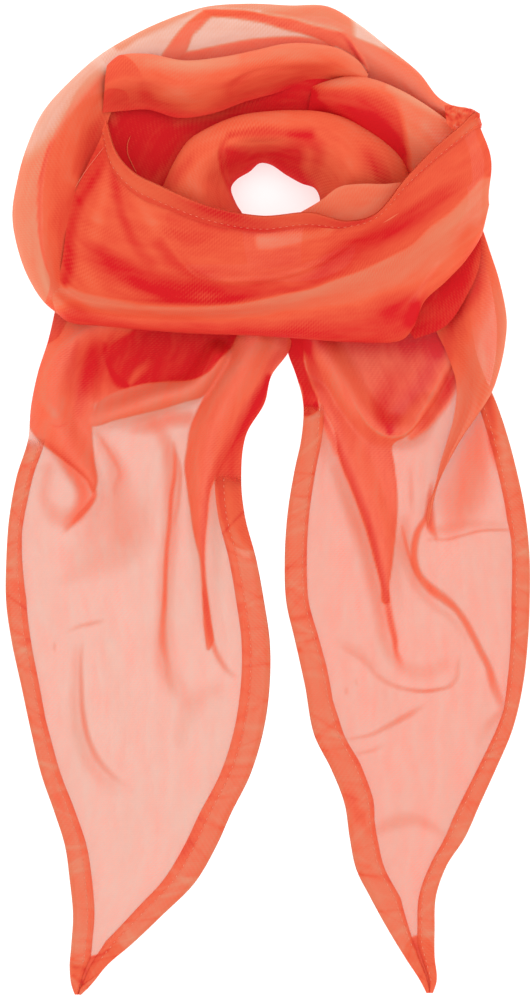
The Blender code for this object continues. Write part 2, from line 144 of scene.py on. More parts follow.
RIGHT_SHOULDER = [
    (128, 164, 104, 150, 9, 3, 4),
    (133, 149, 102, 134, 10, 3, 4),
    (139, 130, 102, 117, 12, 3, 4),
    (143, 109, 100, 104, 14, 3, 4),
    (142, 93, 107, 88, 15, 3, 4),
    (138, 75, 113, 68, 14, 3, 4),
    (133, 62, 111, 48, 12, 3, 4),
    (126, 51, 107, 34, 10, 3, 4),
    (117, 38, 103, 21, 9, 3, 4),
    (109, 24, 100, 8, 8, 3, 4),
    (102, 9, 96, -5, 7, 3, 4),
    (97, -12, 95, -18, 5, 3, 4),
]

# Each section of the front loop: x, y and z of its hemmed edge and of its valley, x and y of the roll's rim,
# the heights of the crest and of the foot, and how far the slope bows to the right.
FRONT_LOOP = [
    (-96, 226, 27, -126, 130, 22, -130.5, 116.5, 29, 9, -6),
    (-91, 209, 36, -116, 122, 21, -120, 106.5, 32, 11, -3),
    (-81, 196, 38, -94, 117, 20, -98, 103.5, 32, 12, 0),
    (-63, 186.5, 39, -68, 115, 20, -71, 101, 33, 13, 0),
    (-35, 175, 40, -37, 115, 20, -41, 99, 34, 13, 0),
    (-4, 169, 41, -8, 118, 21, -11, 98, 35, 13, 0),
    (25, 171, 42, 20, 127, 22, 19, 96, 36, 13, 0),
    (48, 166, 42, 46, 137, 24, 49, 94, 37, 13, 0),
    (66, 172, 43, 66, 146, 26, 78, 94.5, 38, 15, 0),
    (81, 190.5, 44, 84, 154, 28, 87, 103, 37, 17, 0),
    (100, 210, 46, 102, 161, 31, 94, 119, 37, 18, 0),
    (115, 223, 47, 116, 167, 32, 107, 131, 38, 18, 1),
    (121, 229, 46, 126, 172, 33, 119, 144, 38, 18, 3),
    (124, 230, 42, 132, 176, 29, 128, 159, 33, 19, 5),
    (122, 227, 36, 128, 177, 22, 127, 165, 24, 18, 4),
]
# (x, breadth) of the front hem.
FRONT_HEM = [(-98, 7), (-90, 11), (-70, 13), (-40, 12), (0, 11), (28, 10), (40, 7), (50, 4), (60, 3),
    (70, 3.2), (80, 5), (92, 7), (105, 9), (124, 9.5)]

# Plain stretches: x, y and z of the outer and of the inner edge.
INNER_TURN = [
    (-106, 172, 17, -64, 163, 13.6),
    (-108, 190, 17, -60, 180, 13.6),
    (-106, 210, 17, -57, 192, 13.6),
    (-98, 231, 17, -48, 207, 13.6),
    (-80, 243, 17, -38, 219, 13.6),
    (-55, 242, 17, -26, 226, 13.6),
    (-28, 245, 17, -12, 229, 13.6),
    (2, 253, 18, 2, 229, 13.6),
    (30, 255, 18, 19, 228, 13.6),
    (54, 252, 18, 34, 221, 13.6),
    (74, 236, 18, 48, 211, 13.6),
    (94, 216, 17, 60, 200, 13.6),
    (102, 194, 16, 68, 190, 13.6),
    (98, 176, 15, 72, 180, 13.6),
]
NECK_FLAP = [
    (19, 171, 33, 23, 160, 31),
    (31, 178, 34, 34, 157, 32),
    (42, 186, 35, 46, 158, 33),
    (55, 188, 36, 60, 162, 34),
    (70, 188, 36, 73, 167, 34),
    (79, 189, 35, 81, 173, 33),
]
LOWER_FOLD = [
    (127.5, 161, 14, 120, 166, 14),
    (126, 138, 14, 110, 148, 14),
    (119, 122, 14, 100, 136, 14),
    (105, 103, 13.4, 88, 118, 13.6),
    (88, 96, 13, 78, 108, 13.4),
]

# The core: x and y of its outer and of its inner side.
CORE_TOP = 12.0
CORE_LAYERS = 8
CORE_LAYER_STEPS = 6
CORE_BULGE = 0.9
CORE_ROUNDING = 3.0
CORE = [
    (-122, 127, -50, 138),
    (-131, 142, -48, 160),
    (-134, 171, -47, 177),
    (-132, 198, -44, 192),
    (-124, 221, -36, 202),
    (-109, 239, -28, 210),
    (-88, 246, -20, 213),
    (-56, 246, -12, 216),
    (-23, 246, -5, 218),
    (13, 248, 5, 217),
    (44, 246, 17, 211),
    (74, 234, 28, 204),
    (98, 216, 40, 196),
    (114, 198, 50, 186),
    (119, 180, 53, 172),
    (110, 158, 54, 156),
    (94, 134, 50, 142),
    (76, 112, 38, 134),
    (43, 106, 20, 130),
    (-5, 106, -2, 130),
    (-53, 110, -24, 130),
    (-95, 113, -42, 132),
]

# The tails: x and y of the left and of the right edge.
LEFT_TAIL = [
    (-127, 117, 14, 107),
    (-132, 95, 13, 90),
    (-138, 76, 2, 74),
    (-142, 57, -2, 58),
    (-144, 36, -13, 39),
    (-151, 13, -16, 12),
    (-155, -9, -14, -9),
    (-157, -36, -7, -36),
    (-157, -63, -2, -63),
    (-154, -84, 1, -84),
    (-148, -112, 1, -112),
    (-142, -140, -3, -140),
    (-136, -165, -11, -166),
    (-128, -188, -22, -188),
    (-122, -207, -31, -208),
    (-119, -228, -44, -230),
    (-117, -249, -63, -249),
    (-118, -267, -82, -267),
    (-119, -281, -97, -280),
    (-118, -291, -106, -291),
    (-116, -297, -112, -297),
]
RIGHT_TAIL = [
    (14, 106, 121, 124),
    (12, 88, 125, 88),
    (17, 74, 130, 74),
    (21, 58, 137, 58),
    (20, 37, 144, 37),
    (16, 18, 149, 18),
    (12, -6, 154, -6),
    (10, -36, 157, -36),
    (11, -62, 157, -62),
    (16, -84, 156, -84),
    (22, -111, 153, -111),
    (28, -142, 146, -140),
    (38, -162, 137, -161),
    (46, -183, 127, -183),
    (49, -203, 118, -203),
    (53, -222, 107, -220),
    (61, -238, 101, -237),
    (72, -258, 100, -258),
    (83, -276, 100, -274),
    (92, -290, 101, -290),
    (95, -296, 99, -296),
]

# What is drawn on a stretch of cloth. A patch is ((layers, tone, edge), outline), where a raised one has its
# height and its rounding too. It is the inside of a smooth outline of (x, y), fades out over its edge in mm,
# and sets layers and tone. The others follow a smooth line, fade to nothing half_width from it, and add to
# what is there. Their rows: creases (x, y, half_width, height, layers, tone), shades (x, y, half_width,
# tone), folds and ridges (x, y, half_width, height). The tone that is drawn is mostly painted shade and
# light: deeper in valleys, pits, pockets, creases and under the rolls and hems, paler on lit crests, rims
# and ridges.
LEFT_TAIL_RIDGES = {
    "cowl": [(-90, 108, 18, 7), (-118, 92, 17, 8), (-128, 70, 16, 8), (-127, 48, 15, 7), (-117, 26, 14, 6),
        (-106, 6, 12, 4), (-112, -16, 10, 1)],
    "lip": [(-104, 48, 11, 3), (-88, 53, 12, 7), (-68, 60, 12, 8), (-44, 68, 12, 8), (-30, 86, 12, 8)],
    "right_fold": [(-8, 104, 17, 8), (-14, 80, 17, 9), (-24, 60, 16, 9), (-33, 40, 15, 8), (-37, 20, 14, 7),
        (-38, -4, 13, 6), (-37, -36, 12, 4), (-36, -66, 11, 2), (-31, -92, 10, 1)],
}
RIGHT_TAIL_RIDGES = {
    "cowl": [(22, 104, 15, 8), (38, 80, 15, 9), (54, 55, 14, 8), (70, 42, 13, 8), (86, 42, 13, 7),
        (95, 56, 11, 4)],
    "lobe": [(30, 62, 14, 6), (44, 32, 15, 6), (55, 6, 16, 6), (65, -18, 15, 6), (70, -46, 13, 4),
        (74, -78, 10, 1)],
}
LEFT_TAIL_DRESS = {
    "patches": {
        "tip": ((4, 0.2, 1.2), [(-120, -275), (-113, -276.5), (-109, -277.5), (-107, -274.5), (-103, -273.5),
            (-93.5, -268), (-91, -265), (-87.5, -268), (-84, -270.5), (-92.5, -281), (-98.5, -286.5),
            (-105.5, -296), (-114, -300.5), (-122.5, -294.5), (-120, -285.5)]),
        "hem_top": ((4, 0.55, 0.8), [(-132, 112.5), (-120, 106.5), (-125, 98), (-129.5, 91.5),
            (-134.5, 88.5), (-134.5, 101.5)]),
        "cowl": ((3, 0.02, 0.8, 1.6, 8), [(-119, 109), (-125.5, 97.5), (-135.5, 91), (-143, 80.5),
            (-146.5, 67), (-146.5, 56), (-143.5, 44.5), (-137, 35), (-124, 25), (-114, 17), (-107.5, 10.5),
            (-104.5, 4), (-103, 7.5), (-104.5, 25), (-105.5, 44.5), (-104, 57.5), (-103, 65.5), (-102.5, 76),
            (-99.5, 87.5), (-92, 95), (-65, 106.5), (-71, 117.5), (-95, 119.5)]),
        "pale": ((2.6, 0.02, 5), [(-104, 68), (-89, 67), (-83, 67), (-92, 63), (-104, 56)]),
        "pocket_side": ((6, 0.6, 14), [(-110, 93), (-98, 98), (-83, 102), (-71, 84), (-80, 67), (-98, 65),
            (-103, 64), (-107, 70)]),
        "pocket": ((7, 0.95, 2.2), [(-94, 92.5), (-83, 100), (-71, 112.5), (-13, 112.5), (-14.5, 94.5),
            (-23.5, 89), (-30, 82.5), (-36.5, 75.5), (-44.5, 71.5), (-61, 70.5), (-74.5, 68.5), (-83, 67),
            (-90, 67), (-96, 77.5)]),
        "lip": ((2.7, 0, 0.8, 0.8, 4), [(-106, 44.5), (-90, 48), (-75.5, 51.5), (-63, 54.5), (-50, 58.5),
            (-39, 62), (-31, 71.5), (-27.5, 82.5), (-36.5, 75.5), (-44.5, 72), (-61, 70.5), (-74.5, 69.5),
            (-84, 67), (-94, 63.5), (-102, 57.5)]),
        "right_fold": ((3, 0.08, 0.8, 1.3, 6), [(-11, 112.5), (-23.5, 89), (-30, 82.5), (-33, 71.5),
            (-39, 60.5), (-43, 52), (-47, 41.5), (-48.5, 31.5), (-50, 20.5), (-48.5, 8), (-46.5, -6.5),
            (-44, -23), (-41, -34.5), (-39.5, -45.5), (-39, -62), (-38, -79), (-35.5, -90.5), (-33, -85.5),
            (-34.5, -72.5), (-36.5, -56.5), (-38, -40), (-38, -29), (-36.5, -12.5), (-34, 7.5), (-31, 14.5),
            (-27, 23), (-19, 37.5), (-11.5, 52), (-3, 66.5), (0, 73), (5.5, 79), (12, 86.5), (18.5, 95.5),
            (19, 112.5)]),
        "strip": ((5, 0.4, 0.9), [(2, 75.5), (0, 65.5), (-3.5, 52.5), (-11.5, 41.5), (-14.5, 29.5),
            (-12.5, -9.5), (-8.5, -30.5), (-18, -29), (-27.5, -13), (-30.5, 2.5), (-31, 14.5), (-27, 23),
            (-19, 37.5), (-11.5, 52), (-3, 66.5)]),
    },
    "creases": {
        "tip_fold": [(-90, -263.7, 1.5, 0, 0, 0), (-94, -268, 1.8, 0, 0.5, 0.35),
            (-98, -272, 1.8, 0, 0.5, 0.4), (-103, -274, 1.8, 0, 0.5, 0.4), (-107, -275, 1.8, 0, 0, 0.1)],
        "tip_knot": [(-118.8, -278.1, 1.5, 0.4, 0, 0.6), (-115, -280, 1.8, 0.5, 0, 0.9),
            (-111, -280, 1.8, 0.4, 0, 0.7), (-109, -284, 1.8, 0.2, 0, 0.3)],
        "tip_knot_two": [(-117, -286, 1.8, 0.4, 0, 0.5), (-113, -288, 1.8, 0.5, 0, 0.8),
            (-109, -292, 1.8, 0.3, 0, 0.4)],
        "crush_three": [(-154, -41, 4, 0, 0, 0.1), (-151, -52, 4, 0.2, 0, 0.45), (-148, -63, 3, 0, 0, 0)],
        "crush_two": [(-55, -218, 4, 0, 0, 0.1), (-48, -208, 5, 0.2, 0, 0.5), (-41, -200, 4, 0, 0, 0.1)],
        "crush": [(-131, -170, 4, 0, 0, 0.1), (-126, -179, 4, 0.2, 0, 0.5), (-122, -189, 4, 0, 0, 0.2)],
        "cowl_dark": [(-98, 97, 7, 0, 0, 0.15), (-104, 88, 10, 0, 0.5, 0.4), (-108, 76, 11, 0, 1, 0.6),
            (-112, 64, 10, -0.5, 1, 0.6), (-114, 55, 7, 0, 0.3, 0.25), (-115, 48, 6, 0, 0, 0)],
        "cowl_light": [(-110, 101, 4, 0.25, 0, -0.15), (-121, 94, 4, 0.25, 0, -0.2),
            (-130, 86, 4, 0.25, 0, -0.2), (-134, 73, 4, 0.25, 0, -0.2), (-134, 60, 5, 0.25, 0, -0.25),
            (-128, 51, 4, 0.25, -0.3, -0.25)],
        "cowl_under": [(-130, 32, 4, 0, 0.3, 0.1), (-121, 22, 6, 0, 1, 0.25), (-110, 2, 8, 0, 1.3, 0.25),
            (-114, -8, 7, 0, 1, 0.15), (-121, -15, 5, 0, 0.5, 0.05)],
        "cowl_rim": [(-134, 36, 1.8, 0.2, 0.2, 0.1), (-124, 26, 2.1, 0.25, 0.6, 0.15),
            (-114, 18, 2.1, 0.3, 0.8, 0.15), (-107, 10, 2.4, 0.4, 1, 0.15), (-104, 3, 2.4, 0.6, 1.6, 0.15),
            (-107, -3, 2.4, 0.75, 2, 0.1), (-112, -9, 2.4, 0.6, 1.6, 0), (-119, -16, 2.4, 0.25, 0.8, 0),
            (-124, -21, 2.4, 0, 0, 0)],
        "cowl_pocket": [(-130.8, 44.7, 1.2, -0.2, 0, 0.1), (-126, 43.5, 1.2, -0.3, 0, 0.25),
            (-120, 45.9, 1.2, -0.2, 0, 0.15), (-116.4, 49.5, 1.2, 0, 0, 0)],
        "pocket_light": [(-71, 82, 5, 0.5, 0, -0.2), (-78, 76, 5, 1, 0, -0.55), (-82, 71, 4, 0.75, 0, -0.5)],
        "fold_light": [(-4, 93, 7, 0.5, 0, -0.15), (-17, 82, 7, 0.5, 0, -0.2), (-28, 69, 5, 0.5, 0, -0.2),
            (-37, 52, 5, 0.5, 0, -0.2), (-43, 36, 4, 0.5, 0, -0.15), (-44, 18, 4, 0.3, 0, -0.1),
            (-43, 0, 3, 0, 0, 0)],
        "fold_top": [(-20, 99, 6, 0, 0, 0.2), (-6, 100, 7, 0, 0.5, 0.35), (8, 98, 8, 0, 1, 0.45),
            (12, 91, 7, 0, 1.2, 0.45), (5, 84, 5, 0, 0.8, 0.4), (0, 76, 4, 0, 0.5, 0.3)],
        "lip_under": [(-85, 42, 5, 0, 0.2, 0), (-74, 44, 8, 0, 0.7, 0.05), (-61, 48, 9, 0, 0.9, 0.1),
            (-49, 49, 8, 0, 0.9, 0.1)],
        "fold_dark": [(0, 73, 5, 0, 0, 0.3), (-10, 58, 6, 0, 0, 0.4), (-18, 43, 6, 0, 0.3, 0.4),
            (-26, 28, 5, 0, 0.5, 0.4), (-33, 14, 4, 0, 0.5, 0.35), (-36, 0, 4, 0, 0.4, 0.3),
            (-38, -18, 4, 0, 0.4, 0.25), (-39, -36, 3, 0.25, 0.8, 0.3), (-38, -54, 2.7, 0.5, 1.4, 0.3),
            (-36, -71, 2.7, 0.6, 1.6, 0.3), (-34, -84, 2.7, 0.5, 1.5, 0.2), (-29, -96, 2.7, 0.3, 1, 0),
            (-23, -104, 3, 0, 0.4, 0), (-17, -108, 3, 0, 0, 0)],
        "strip_dark": [(0, 72, 5, 0, 2, 0.6), (-6, 57, 7, 0, 2, 0.55), (-14, 43, 7, 0, 2, 0.35),
            (-20, 30, 7, 0, 1.5, 0.2), (-22, 15, 7, 0, 1, 0.15), (-22, 0, 6, 0, 0, 0),
            (-18, -15, 5, 0, 0, -0.1)],
        "strip_fade": [(-24, -14, 4, 0, -1.5, -0.2), (-19, -23, 5, 0, -2, -0.35),
            (-13, -32, 5, 0, -2.5, -0.4)],
        "middle": [(-57, 33.9, 1.5, 0.15, 0.3, 0), (-56, 27, 1.8, 0.5, 1, 0),
            (-56, 15, 1.8, 0.75, 1.3, 0.05), (-58, 3, 1.8, 0.75, 1.3, 0.05), (-59, -12, 1.8, 0.8, 1.5, 0.05),
            (-61, -34, 1.9, 0.8, 1.6, 0.05), (-62, -60, 2.1, 0.8, 1.8, 0.05), (-63, -75, 3, 0.75, 1.3, 0),
            (-63, -86, 4, 0.6, 0.9, 0), (-61, -97, 3, 0.4, 0.5, 0), (-59, -109, 4, 0.25, 0.3, 0),
            (-55, -119, 4, 0, 0, 0)],
        "middle_side": [(-55, 27, 1.8, 0.15, 0.3, 0), (-53, 19, 2.1, 0.3, 0.7, 0),
            (-53, 6, 2.1, 0.3, 0.6, 0), (-55, -8, 2.1, 0.2, 0.4, 0), (-58, -21, 2.1, 0, 0, 0)],
        "middle_soft": [(-71, 48, 7, 0, 0.2, 0), (-62, 36, 7, 0.15, 0.6, 0), (-58, 18, 8, 0.15, 0.8, 0),
            (-58, -6, 8, 0.15, 0.7, 0), (-60, -36, 8, 0.15, 0.6, 0), (-62, -72, 8, 0.15, 0.5, 0),
            (-61, -102, 10, 0.1, 0.4, 0), (-50, -120, 11, 0, 0.15, 0)],
        "slant": [(-102, 39, 1.8, 0.15, 0.2, 0), (-98, 33, 2.1, 0.3, 0.5, 0), (-93, 25, 2.4, 0.3, 0.55, 0),
            (-89, 15, 2.4, 0.2, 0.4, 0), (-92, 7, 2.4, 0.2, 0.3, 0), (-90, -1, 2.4, 0, 0, 0)],
        "slant_soft": [(-103, 40, 5, 0, 0.3, 0), (-91, 19, 10, 0, 0.5, 0.02), (-89, -8, 13, 0, 0.5, 0.02),
            (-88, -21, 11, 0, 0.3, 0)],
        "hollow_shade": [(-76, 6, 10, 0, 0.1, 0), (-77, -12, 13, 0, 0.3, 0), (-83, -27, 16, 0, 0.35, 0),
            (-95, -36, 14, 0.15, 0.3, 0), (-108, -42, 11, 0.2, 0.2, 0), (-121, -47, 7, 0.1, 0.12, 0),
            (-131, -50, 5, 0, 0, 0)],
        "hollow_fill": [(-108, 4, 13, 0, 0.1, 0), (-101, -18, 18, 0, 0.28, 0), (-113, -34, 14, 0, 0.15, 0),
            (-127, -36, 10, 0, 0, 0)],
        "left_shade": [(-132, 18, 7, 0, 0.3, 0), (-134, 0, 6, 0, 0.3, 0), (-126, -10, 10, 0.25, 0.4, 0),
            (-115, -9, 7, 0.25, 0.4, 0)],
        "cross": [(-120, -79, 1.8, 0.1, 0.1, 0), (-113, -76, 2.1, 0.25, 0.4, 0),
            (-104, -74, 2.4, 0.25, 0.4, 0), (-96, -72, 1.8, 0, 0, 0)],
        "mark": [(-128.4, -84.3, 1.5, 0, 0, 0), (-128, -88, 1.8, 0.1, 0.4, 0),
            (-128.4, -92.1, 1.5, 0, 0, 0)],
        "lower": [(-111, -83, 1.8, 0, 0, 0), (-112, -93, 1.8, 0.25, 0.35, 0), (-112, -112, 2.1, 0.5, 0.8, 0),
            (-111, -129, 2.4, 0.6, 1, 0), (-107, -146, 2.7, 0.6, 0.9, 0), (-102, -156, 3, 0.5, 0.7, 0),
            (-94, -165, 3, 0.25, 0.4, 0), (-84, -173, 4, 0, 0, 0)],
        "lower_soft": [(-115, -90, 4, 0, 0.1, 0), (-116, -120, 5, 0.2, 0.25, 0),
            (-114, -141, 6, 0.25, 0.3, 0), (-107, -159, 7, 0.2, 0.25, 0), (-92, -174, 8, 0, 0.1, 0)],
        "foot_shade": [(-32, -114, 8, 0.2, 0.15, 0), (-44, -123, 10, 0.2, 0.18, 0),
            (-53, -144, 8, 0, 0.1, 0)],
    },
    "shades": {
        "cowl_inner": [(-114, 93, 5, 0.2), (-117, 85, 7, 0.4), (-119, 75, 7, 0.4), (-121, 66, 6, 0.2)],
        "pocket_edge": [(-98, 93, 3, 0.3), (-97, 84, 2.4, 0.2), (-92, 74, 2.4, 0.3), (-85, 68, 2.4, 0.2)],
    },
}
RIGHT_TAIL_DRESS = {
    "patches": {
        "tip": ((4, 0.2, 1.5), [(83, -266.5), (87, -262.5), (93.5, -261.5), (98, -266.5), (104, -279.5),
            (103, -294.5), (97, -300.5), (89, -291.5)]),
        "strip": ((7, 0.9, 1), [(9.5, 112.5), (11.5, 85), (14, 76.5), (20, 67), (21, 58), (20, 50.5),
            (30, 53.5), (30, 58), (25, 71.5), (22, 80.5), (19, 112.5)]),
        "upper": ((3, 0.16, 0.8, 1.6, 7), [(18, 112.5), (23, 80.5), (25, 71.5), (31, 58), (39, 43.5),
            (41, 37), (42, 28), (46, 16), (51, 4), (56, -10), (59, -18.5), (63.5, -35), (68, -52),
            (70, -62.5), (71.5, -62.5), (72.5, -52), (74.5, -38), (76.5, -20), (77.5, -9.5), (77.5, 4),
            (76, 19), (75.5, 34), (82, 37.5), (89, 43.5), (98, 55), (105.5, 68), (111.5, 82), (115, 95.5),
            (127, 125.5)]),
    },
    "creases": {
        "tip_fold": [(86, -262, 1.8, 0, 0, 0), (89, -268, 1.8, 0.2, 0, 0.25), (92, -273, 1.8, 0.2, 0, 0.2),
            (96, -281, 1.8, 0.15, 0, 0.25), (98, -287, 1.8, 0, 0, 0)],
        "hem_crush": [(46, -170, 4, 0, 0, 0), (49, -178, 6, 0.4, 0, 0.7), (54, -188, 7, 0.5, 0, 0.8),
            (59, -197, 5, 0.3, 0, 0.5), (64, -206, 4, 0, 0, 0)],
        "upper_top": [(19, 98, 16, 0, 1, 0.85), (37, 98, 14, 0, 1, 0.65), (61, 96, 14, 0, 1, 0.7),
            (85, 96, 16, 0, 1, 0.8), (103, 96, 16, 0, 1, 0.8)],
        "upper_side": [(23, 93, 5, 0, 0.5, 0.7), (30, 70, 5, 0, 0.4, 0.45), (36, 57, 4, 0, 0.3, 0.25),
            (41, 48, 3, 0, 0, 0.1)],
        "upper_light": [(40, 82, 6, 0.25, 0, -0.1), (40, 72, 7, 0.5, 0, -0.25), (44, 60, 6, 0.5, 0, -0.2),
            (50, 50, 5, 0.25, 0, -0.1)],
        "pocket": [(86, 90, 13, 0, 0, 0.15), (79, 78, 13, 0, 0.3, 0.3), (73, 66, 12, -0.5, 0.6, 0.45),
            (68, 56, 10, -0.75, 1, 0.55), (69, 48, 8, -0.75, 1, 0.6), (73, 41, 4, -0.5, 1, 0.5)],
        "pocket_right": [(73, 40, 4, -0.25, 0, 0.45), (77, 50, 7, -0.4, 0, 0.55), (84, 60, 9, -0.4, 0, 0.55),
            (92, 69, 10, -0.4, 0, 0.55), (97, 79, 10, -0.3, 0, 0.6), (101, 88, 10, -0.15, 0, 0.6),
            (102, 97, 8, 0, 0, 0.3)],
        "pocket_rim": [(50.4, 60.9, 1.5, 0, 0, 0), (54.6, 52.5, 1.5, 0.5, 0, -0.3),
            (60.6, 44.1, 1.5, 0.6, 0, -0.45), (68.4, 38.7, 1.5, 0.6, 0, -0.5),
            (75.6, 37.2, 1.5, 0.6, 0, -0.5), (81.6, 38.7, 1.5, 0.6, 0, -0.5),
            (86.4, 42.9, 1.5, 0.5, 0, -0.45), (92, 52, 2.4, 0.4, 0, -0.3), (98, 62, 2.4, 0.3, 0, -0.3),
            (104, 74, 2.4, 0.15, 0, -0.25), (109, 84, 2.4, 0, 0, 0)],
        "glow": [(113, 82, 4, 0, 1.5, 0.3), (110, 72, 7, 0, 3, 0.9), (106, 63, 7, 0, 3, 0.75),
            (100, 54, 7, 0, 2.6, 0.55), (93, 45, 6, 0, 2.2, 0.4), (86, 38, 4, 0, 1.2, 0.2)],
        "lobe_edge": [(40, 39, 2.4, 0, 0.3, 0.2), (44, 26, 4, 0.15, 0.6, 0.35), (51, 9, 5, 0.25, 0.7, 0.45),
            (59, -11, 4, 0.25, 0.5, 0.4), (65, -32, 4, 0.25, 0.6, 0.4), (69, -50, 3, 0.3, 0.8, 0.4),
            (72, -64, 3, 0.5, 1.6, 0.35), (74, -75, 3, 0.6, 2, 0.3), (76, -84, 2.7, 0.6, 2.2, 0.3),
            (77, -92, 2.4, 0.4, 1.3, 0.1), (80, -99, 3, 0, 0.2, 0), (83, -104, 3, 0, 0, 0)],
        "lobe_light": [(56, 33, 6, 0.25, 0, -0.1), (62, 15, 6, 0.4, 0, -0.15), (67, -3, 5, 0.4, 0, -0.15),
            (71, -21, 4, 0.25, 0, -0.1)],
        "lobe_soft": [(40, 18, 5, 0, 0.2, 0), (49, -6, 7, 0.15, 0.5, 0), (59, -36, 7, 0.2, 0.5, 0),
            (67, -66, 7, 0.25, 0.45, 0), (72, -90, 6, 0.2, 0.4, 0), (82, -101, 7, 0.15, 0.3, 0),
            (94, -104, 8, 0.15, 0.25, 0), (106, -99, 7, 0, 0.2, 0)],
        "left_line": [(32, 49, 4, 0, 0.6, 0), (33, 36, 4, 0, 0.3, 0), (31, 0, 3, 0, 0, 0)],
        "v_side": [(29, 57, 3, 0, 1, 0.4), (34, 48, 4, 0, 1.6, 0.5), (38, 38, 4, 0, 1.4, 0.35),
            (41, 28, 3, 0, 0.6, 0.1)],
        "slit_soft": [(85, 18, 3, 0, 0.15, 0), (86, 0, 2.4, 0.15, 0.3, 0), (86, -9, 1.8, 0, 0, 0)],
        "turned_top": [(98, 9, 2.4, 0, 0.4, 0), (97, 0, 3, 0.25, 1.6, 0.1), (97, -9, 4, 0.4, 2, 0.15),
            (98, -17, 4, 0.3, 2, 0.15), (101, -23, 2.4, 0, 0.6, 0)],
        "turned": [(97, -4, 1.8, 0.3, 1, 0.05), (94, -12, 2.4, 0.6, 1.6, 0.05), (90, -19, 3, 0.9, 2, 0.05),
            (88, -27, 3, 1.1, 2.2, 0.05), (88, -38, 3, 1.2, 2.2, 0.05), (91, -46, 3, 1.2, 2.2, 0.05),
            (97, -53, 4, 1.2, 2.1, 0.03), (105, -59, 4, 1.1, 2, 0.02), (113, -66, 3, 1, 1.9, 0.02),
            (118, -73, 3, 0.9, 1.7, 0.02), (123, -82, 3, 0.9, 1.7, 0.02), (128, -92, 3, 0.9, 1.7, 0.02),
            (132, -100, 3, 0.9, 1.6, 0.02), (135, -110, 4, 0.75, 1.3, 0), (138, -118, 4, 0.5, 0.8, 0),
            (142, -126, 4, 0, 0.3, 0)],
        "turned_side": [(80.4, -15.9, 1.5, 0.1, 0.4, 0), (82.2, -24.3, 1.5, 0.3, 1, 0),
            (84.6, -33.3, 1.5, 0.4, 1.2, 0), (88, -42, 1.8, 0.3, 0.8, 0), (91, -48, 1.8, 0, 0, 0)],
        "turned_soft": [(82, -12, 5, 0, 0.3, 0), (82, -27, 7, 0, 0.7, 0), (86, -45, 6, 0.15, 0.5, 0),
            (97, -62, 4, 0.15, 0.3, 0), (110, -72, 4, 0.15, 0.25, 0), (119, -84, 4, 0, 0.1, 0)],
        "dark_patch": [(128, 48, 7, 0, 0.7, 0.05), (125, 33, 13, 0, 1.1, 0.04), (123, 20, 17, 0, 1.1, 0.03),
            (114, -8, 17, 0, 0.75, 0), (109, -18, 10, 0, 0.3, 0)],
        "hem_shadow": [(130, 66, 5, 0, 1.2, 0.2), (132, 57, 5, 0, 2, 0.85), (134, 48, 5, 0, 2, 0.95),
            (135, 38, 5, 0, 2, 0.9), (137, 28, 5, 0, 1.6, 0.5), (139, 19, 4, 0, 0.6, 0.1)],
        "bar": [(97, -24, 1.8, 0.1, 0.3, 0), (107, -24, 1.8, 0.25, 0.5, 0), (117.6, -21.3, 1.5, 0.3, 0.7, 0),
            (127.2, -18.9, 1.5, 0.3, 0.8, 0), (136.8, -18.3, 1.5, 0.2, 0.8, 0),
            (144, -18.3, 1.5, 0, 0.5, 0)],
        "bar_soft": [(103, -18, 5, 0, 0.3, 0), (121, -15, 5, 0, 0.3, 0), (139, -15, 4, 0, 0.15, 0)],
        "arc": [(42, -87, 2.4, 0, 0, 0), (49, -91, 3, 0.2, 0.25, 0), (58, -97, 3, 0.25, 0.28, 0),
            (65, -105, 2.7, 0.3, 0.35, 0), (74, -111, 2.4, 0.4, 0.45, 0), (84, -114, 2.1, 0.5, 0.6, 0),
            (94, -115, 1.8, 0.6, 1, 0), (102, -114, 1.8, 0.5, 0.9, 0), (109, -112, 2.1, 0.4, 0.5, 0),
            (113, -107, 2.4, 0.3, 0.4, 0), (114, -99, 2.4, 0.25, 0.35, 0), (115, -92, 2.4, 0, 0, 0)],
        "arc_soft": [(43, -86, 5, 0, 0.1, 0), (53, -90, 5, 0.1, 0.2, 0), (62, -99, 5, 0.1, 0.15, 0)],
        "lower_arc": [(44, -144, 1.8, 0, 0, 0), (53, -143, 1.8, 0.15, 0.35, 0), (62, -141, 2.1, 0.3, 0.5, 0),
            (72, -136, 2.7, 0.5, 0.65, 0), (81, -131, 3, 0.6, 0.75, 0), (88, -127, 3, 0.4, 0.45, 0),
            (95, -122, 2.4, 0, 0, 0)],
        "second_arc": [(50, -153, 1.8, 0, 0, 0), (56, -152, 2.1, 0.15, 0.3, 0),
            (64, -150, 2.1, 0.15, 0.3, 0), (71, -146, 1.8, 0, 0, 0)],
        "spot": [(47, -112, 1.8, 0, 0, 0), (47, -116, 2.1, 0.15, 0.4, 0), (47, -118, 1.8, 0, 0, 0)],
        "spot_two": [(52.2, -107.1, 1.5, 0, 0, 0), (53, -110, 1.8, 0.1, 0.35, 0),
            (54, -111.9, 1.5, 0, 0, 0)],
        "bubble": [(127, -146, 5, 0, 0.1, 0), (133, -135, 5, 0.2, 0.35, 0), (139, -128, 4, 0.25, 0.4, 0)],
        "foot_shade": [(62, -200, 5, 0, 0.15, 0), (73, -195, 7, 0.25, 0.35, 0), (86, -192, 7, 0.25, 0.35, 0),
            (98, -196, 5, 0.15, 0.3, 0), (107, -203, 4, 0, 0.1, 0)],
    },
}
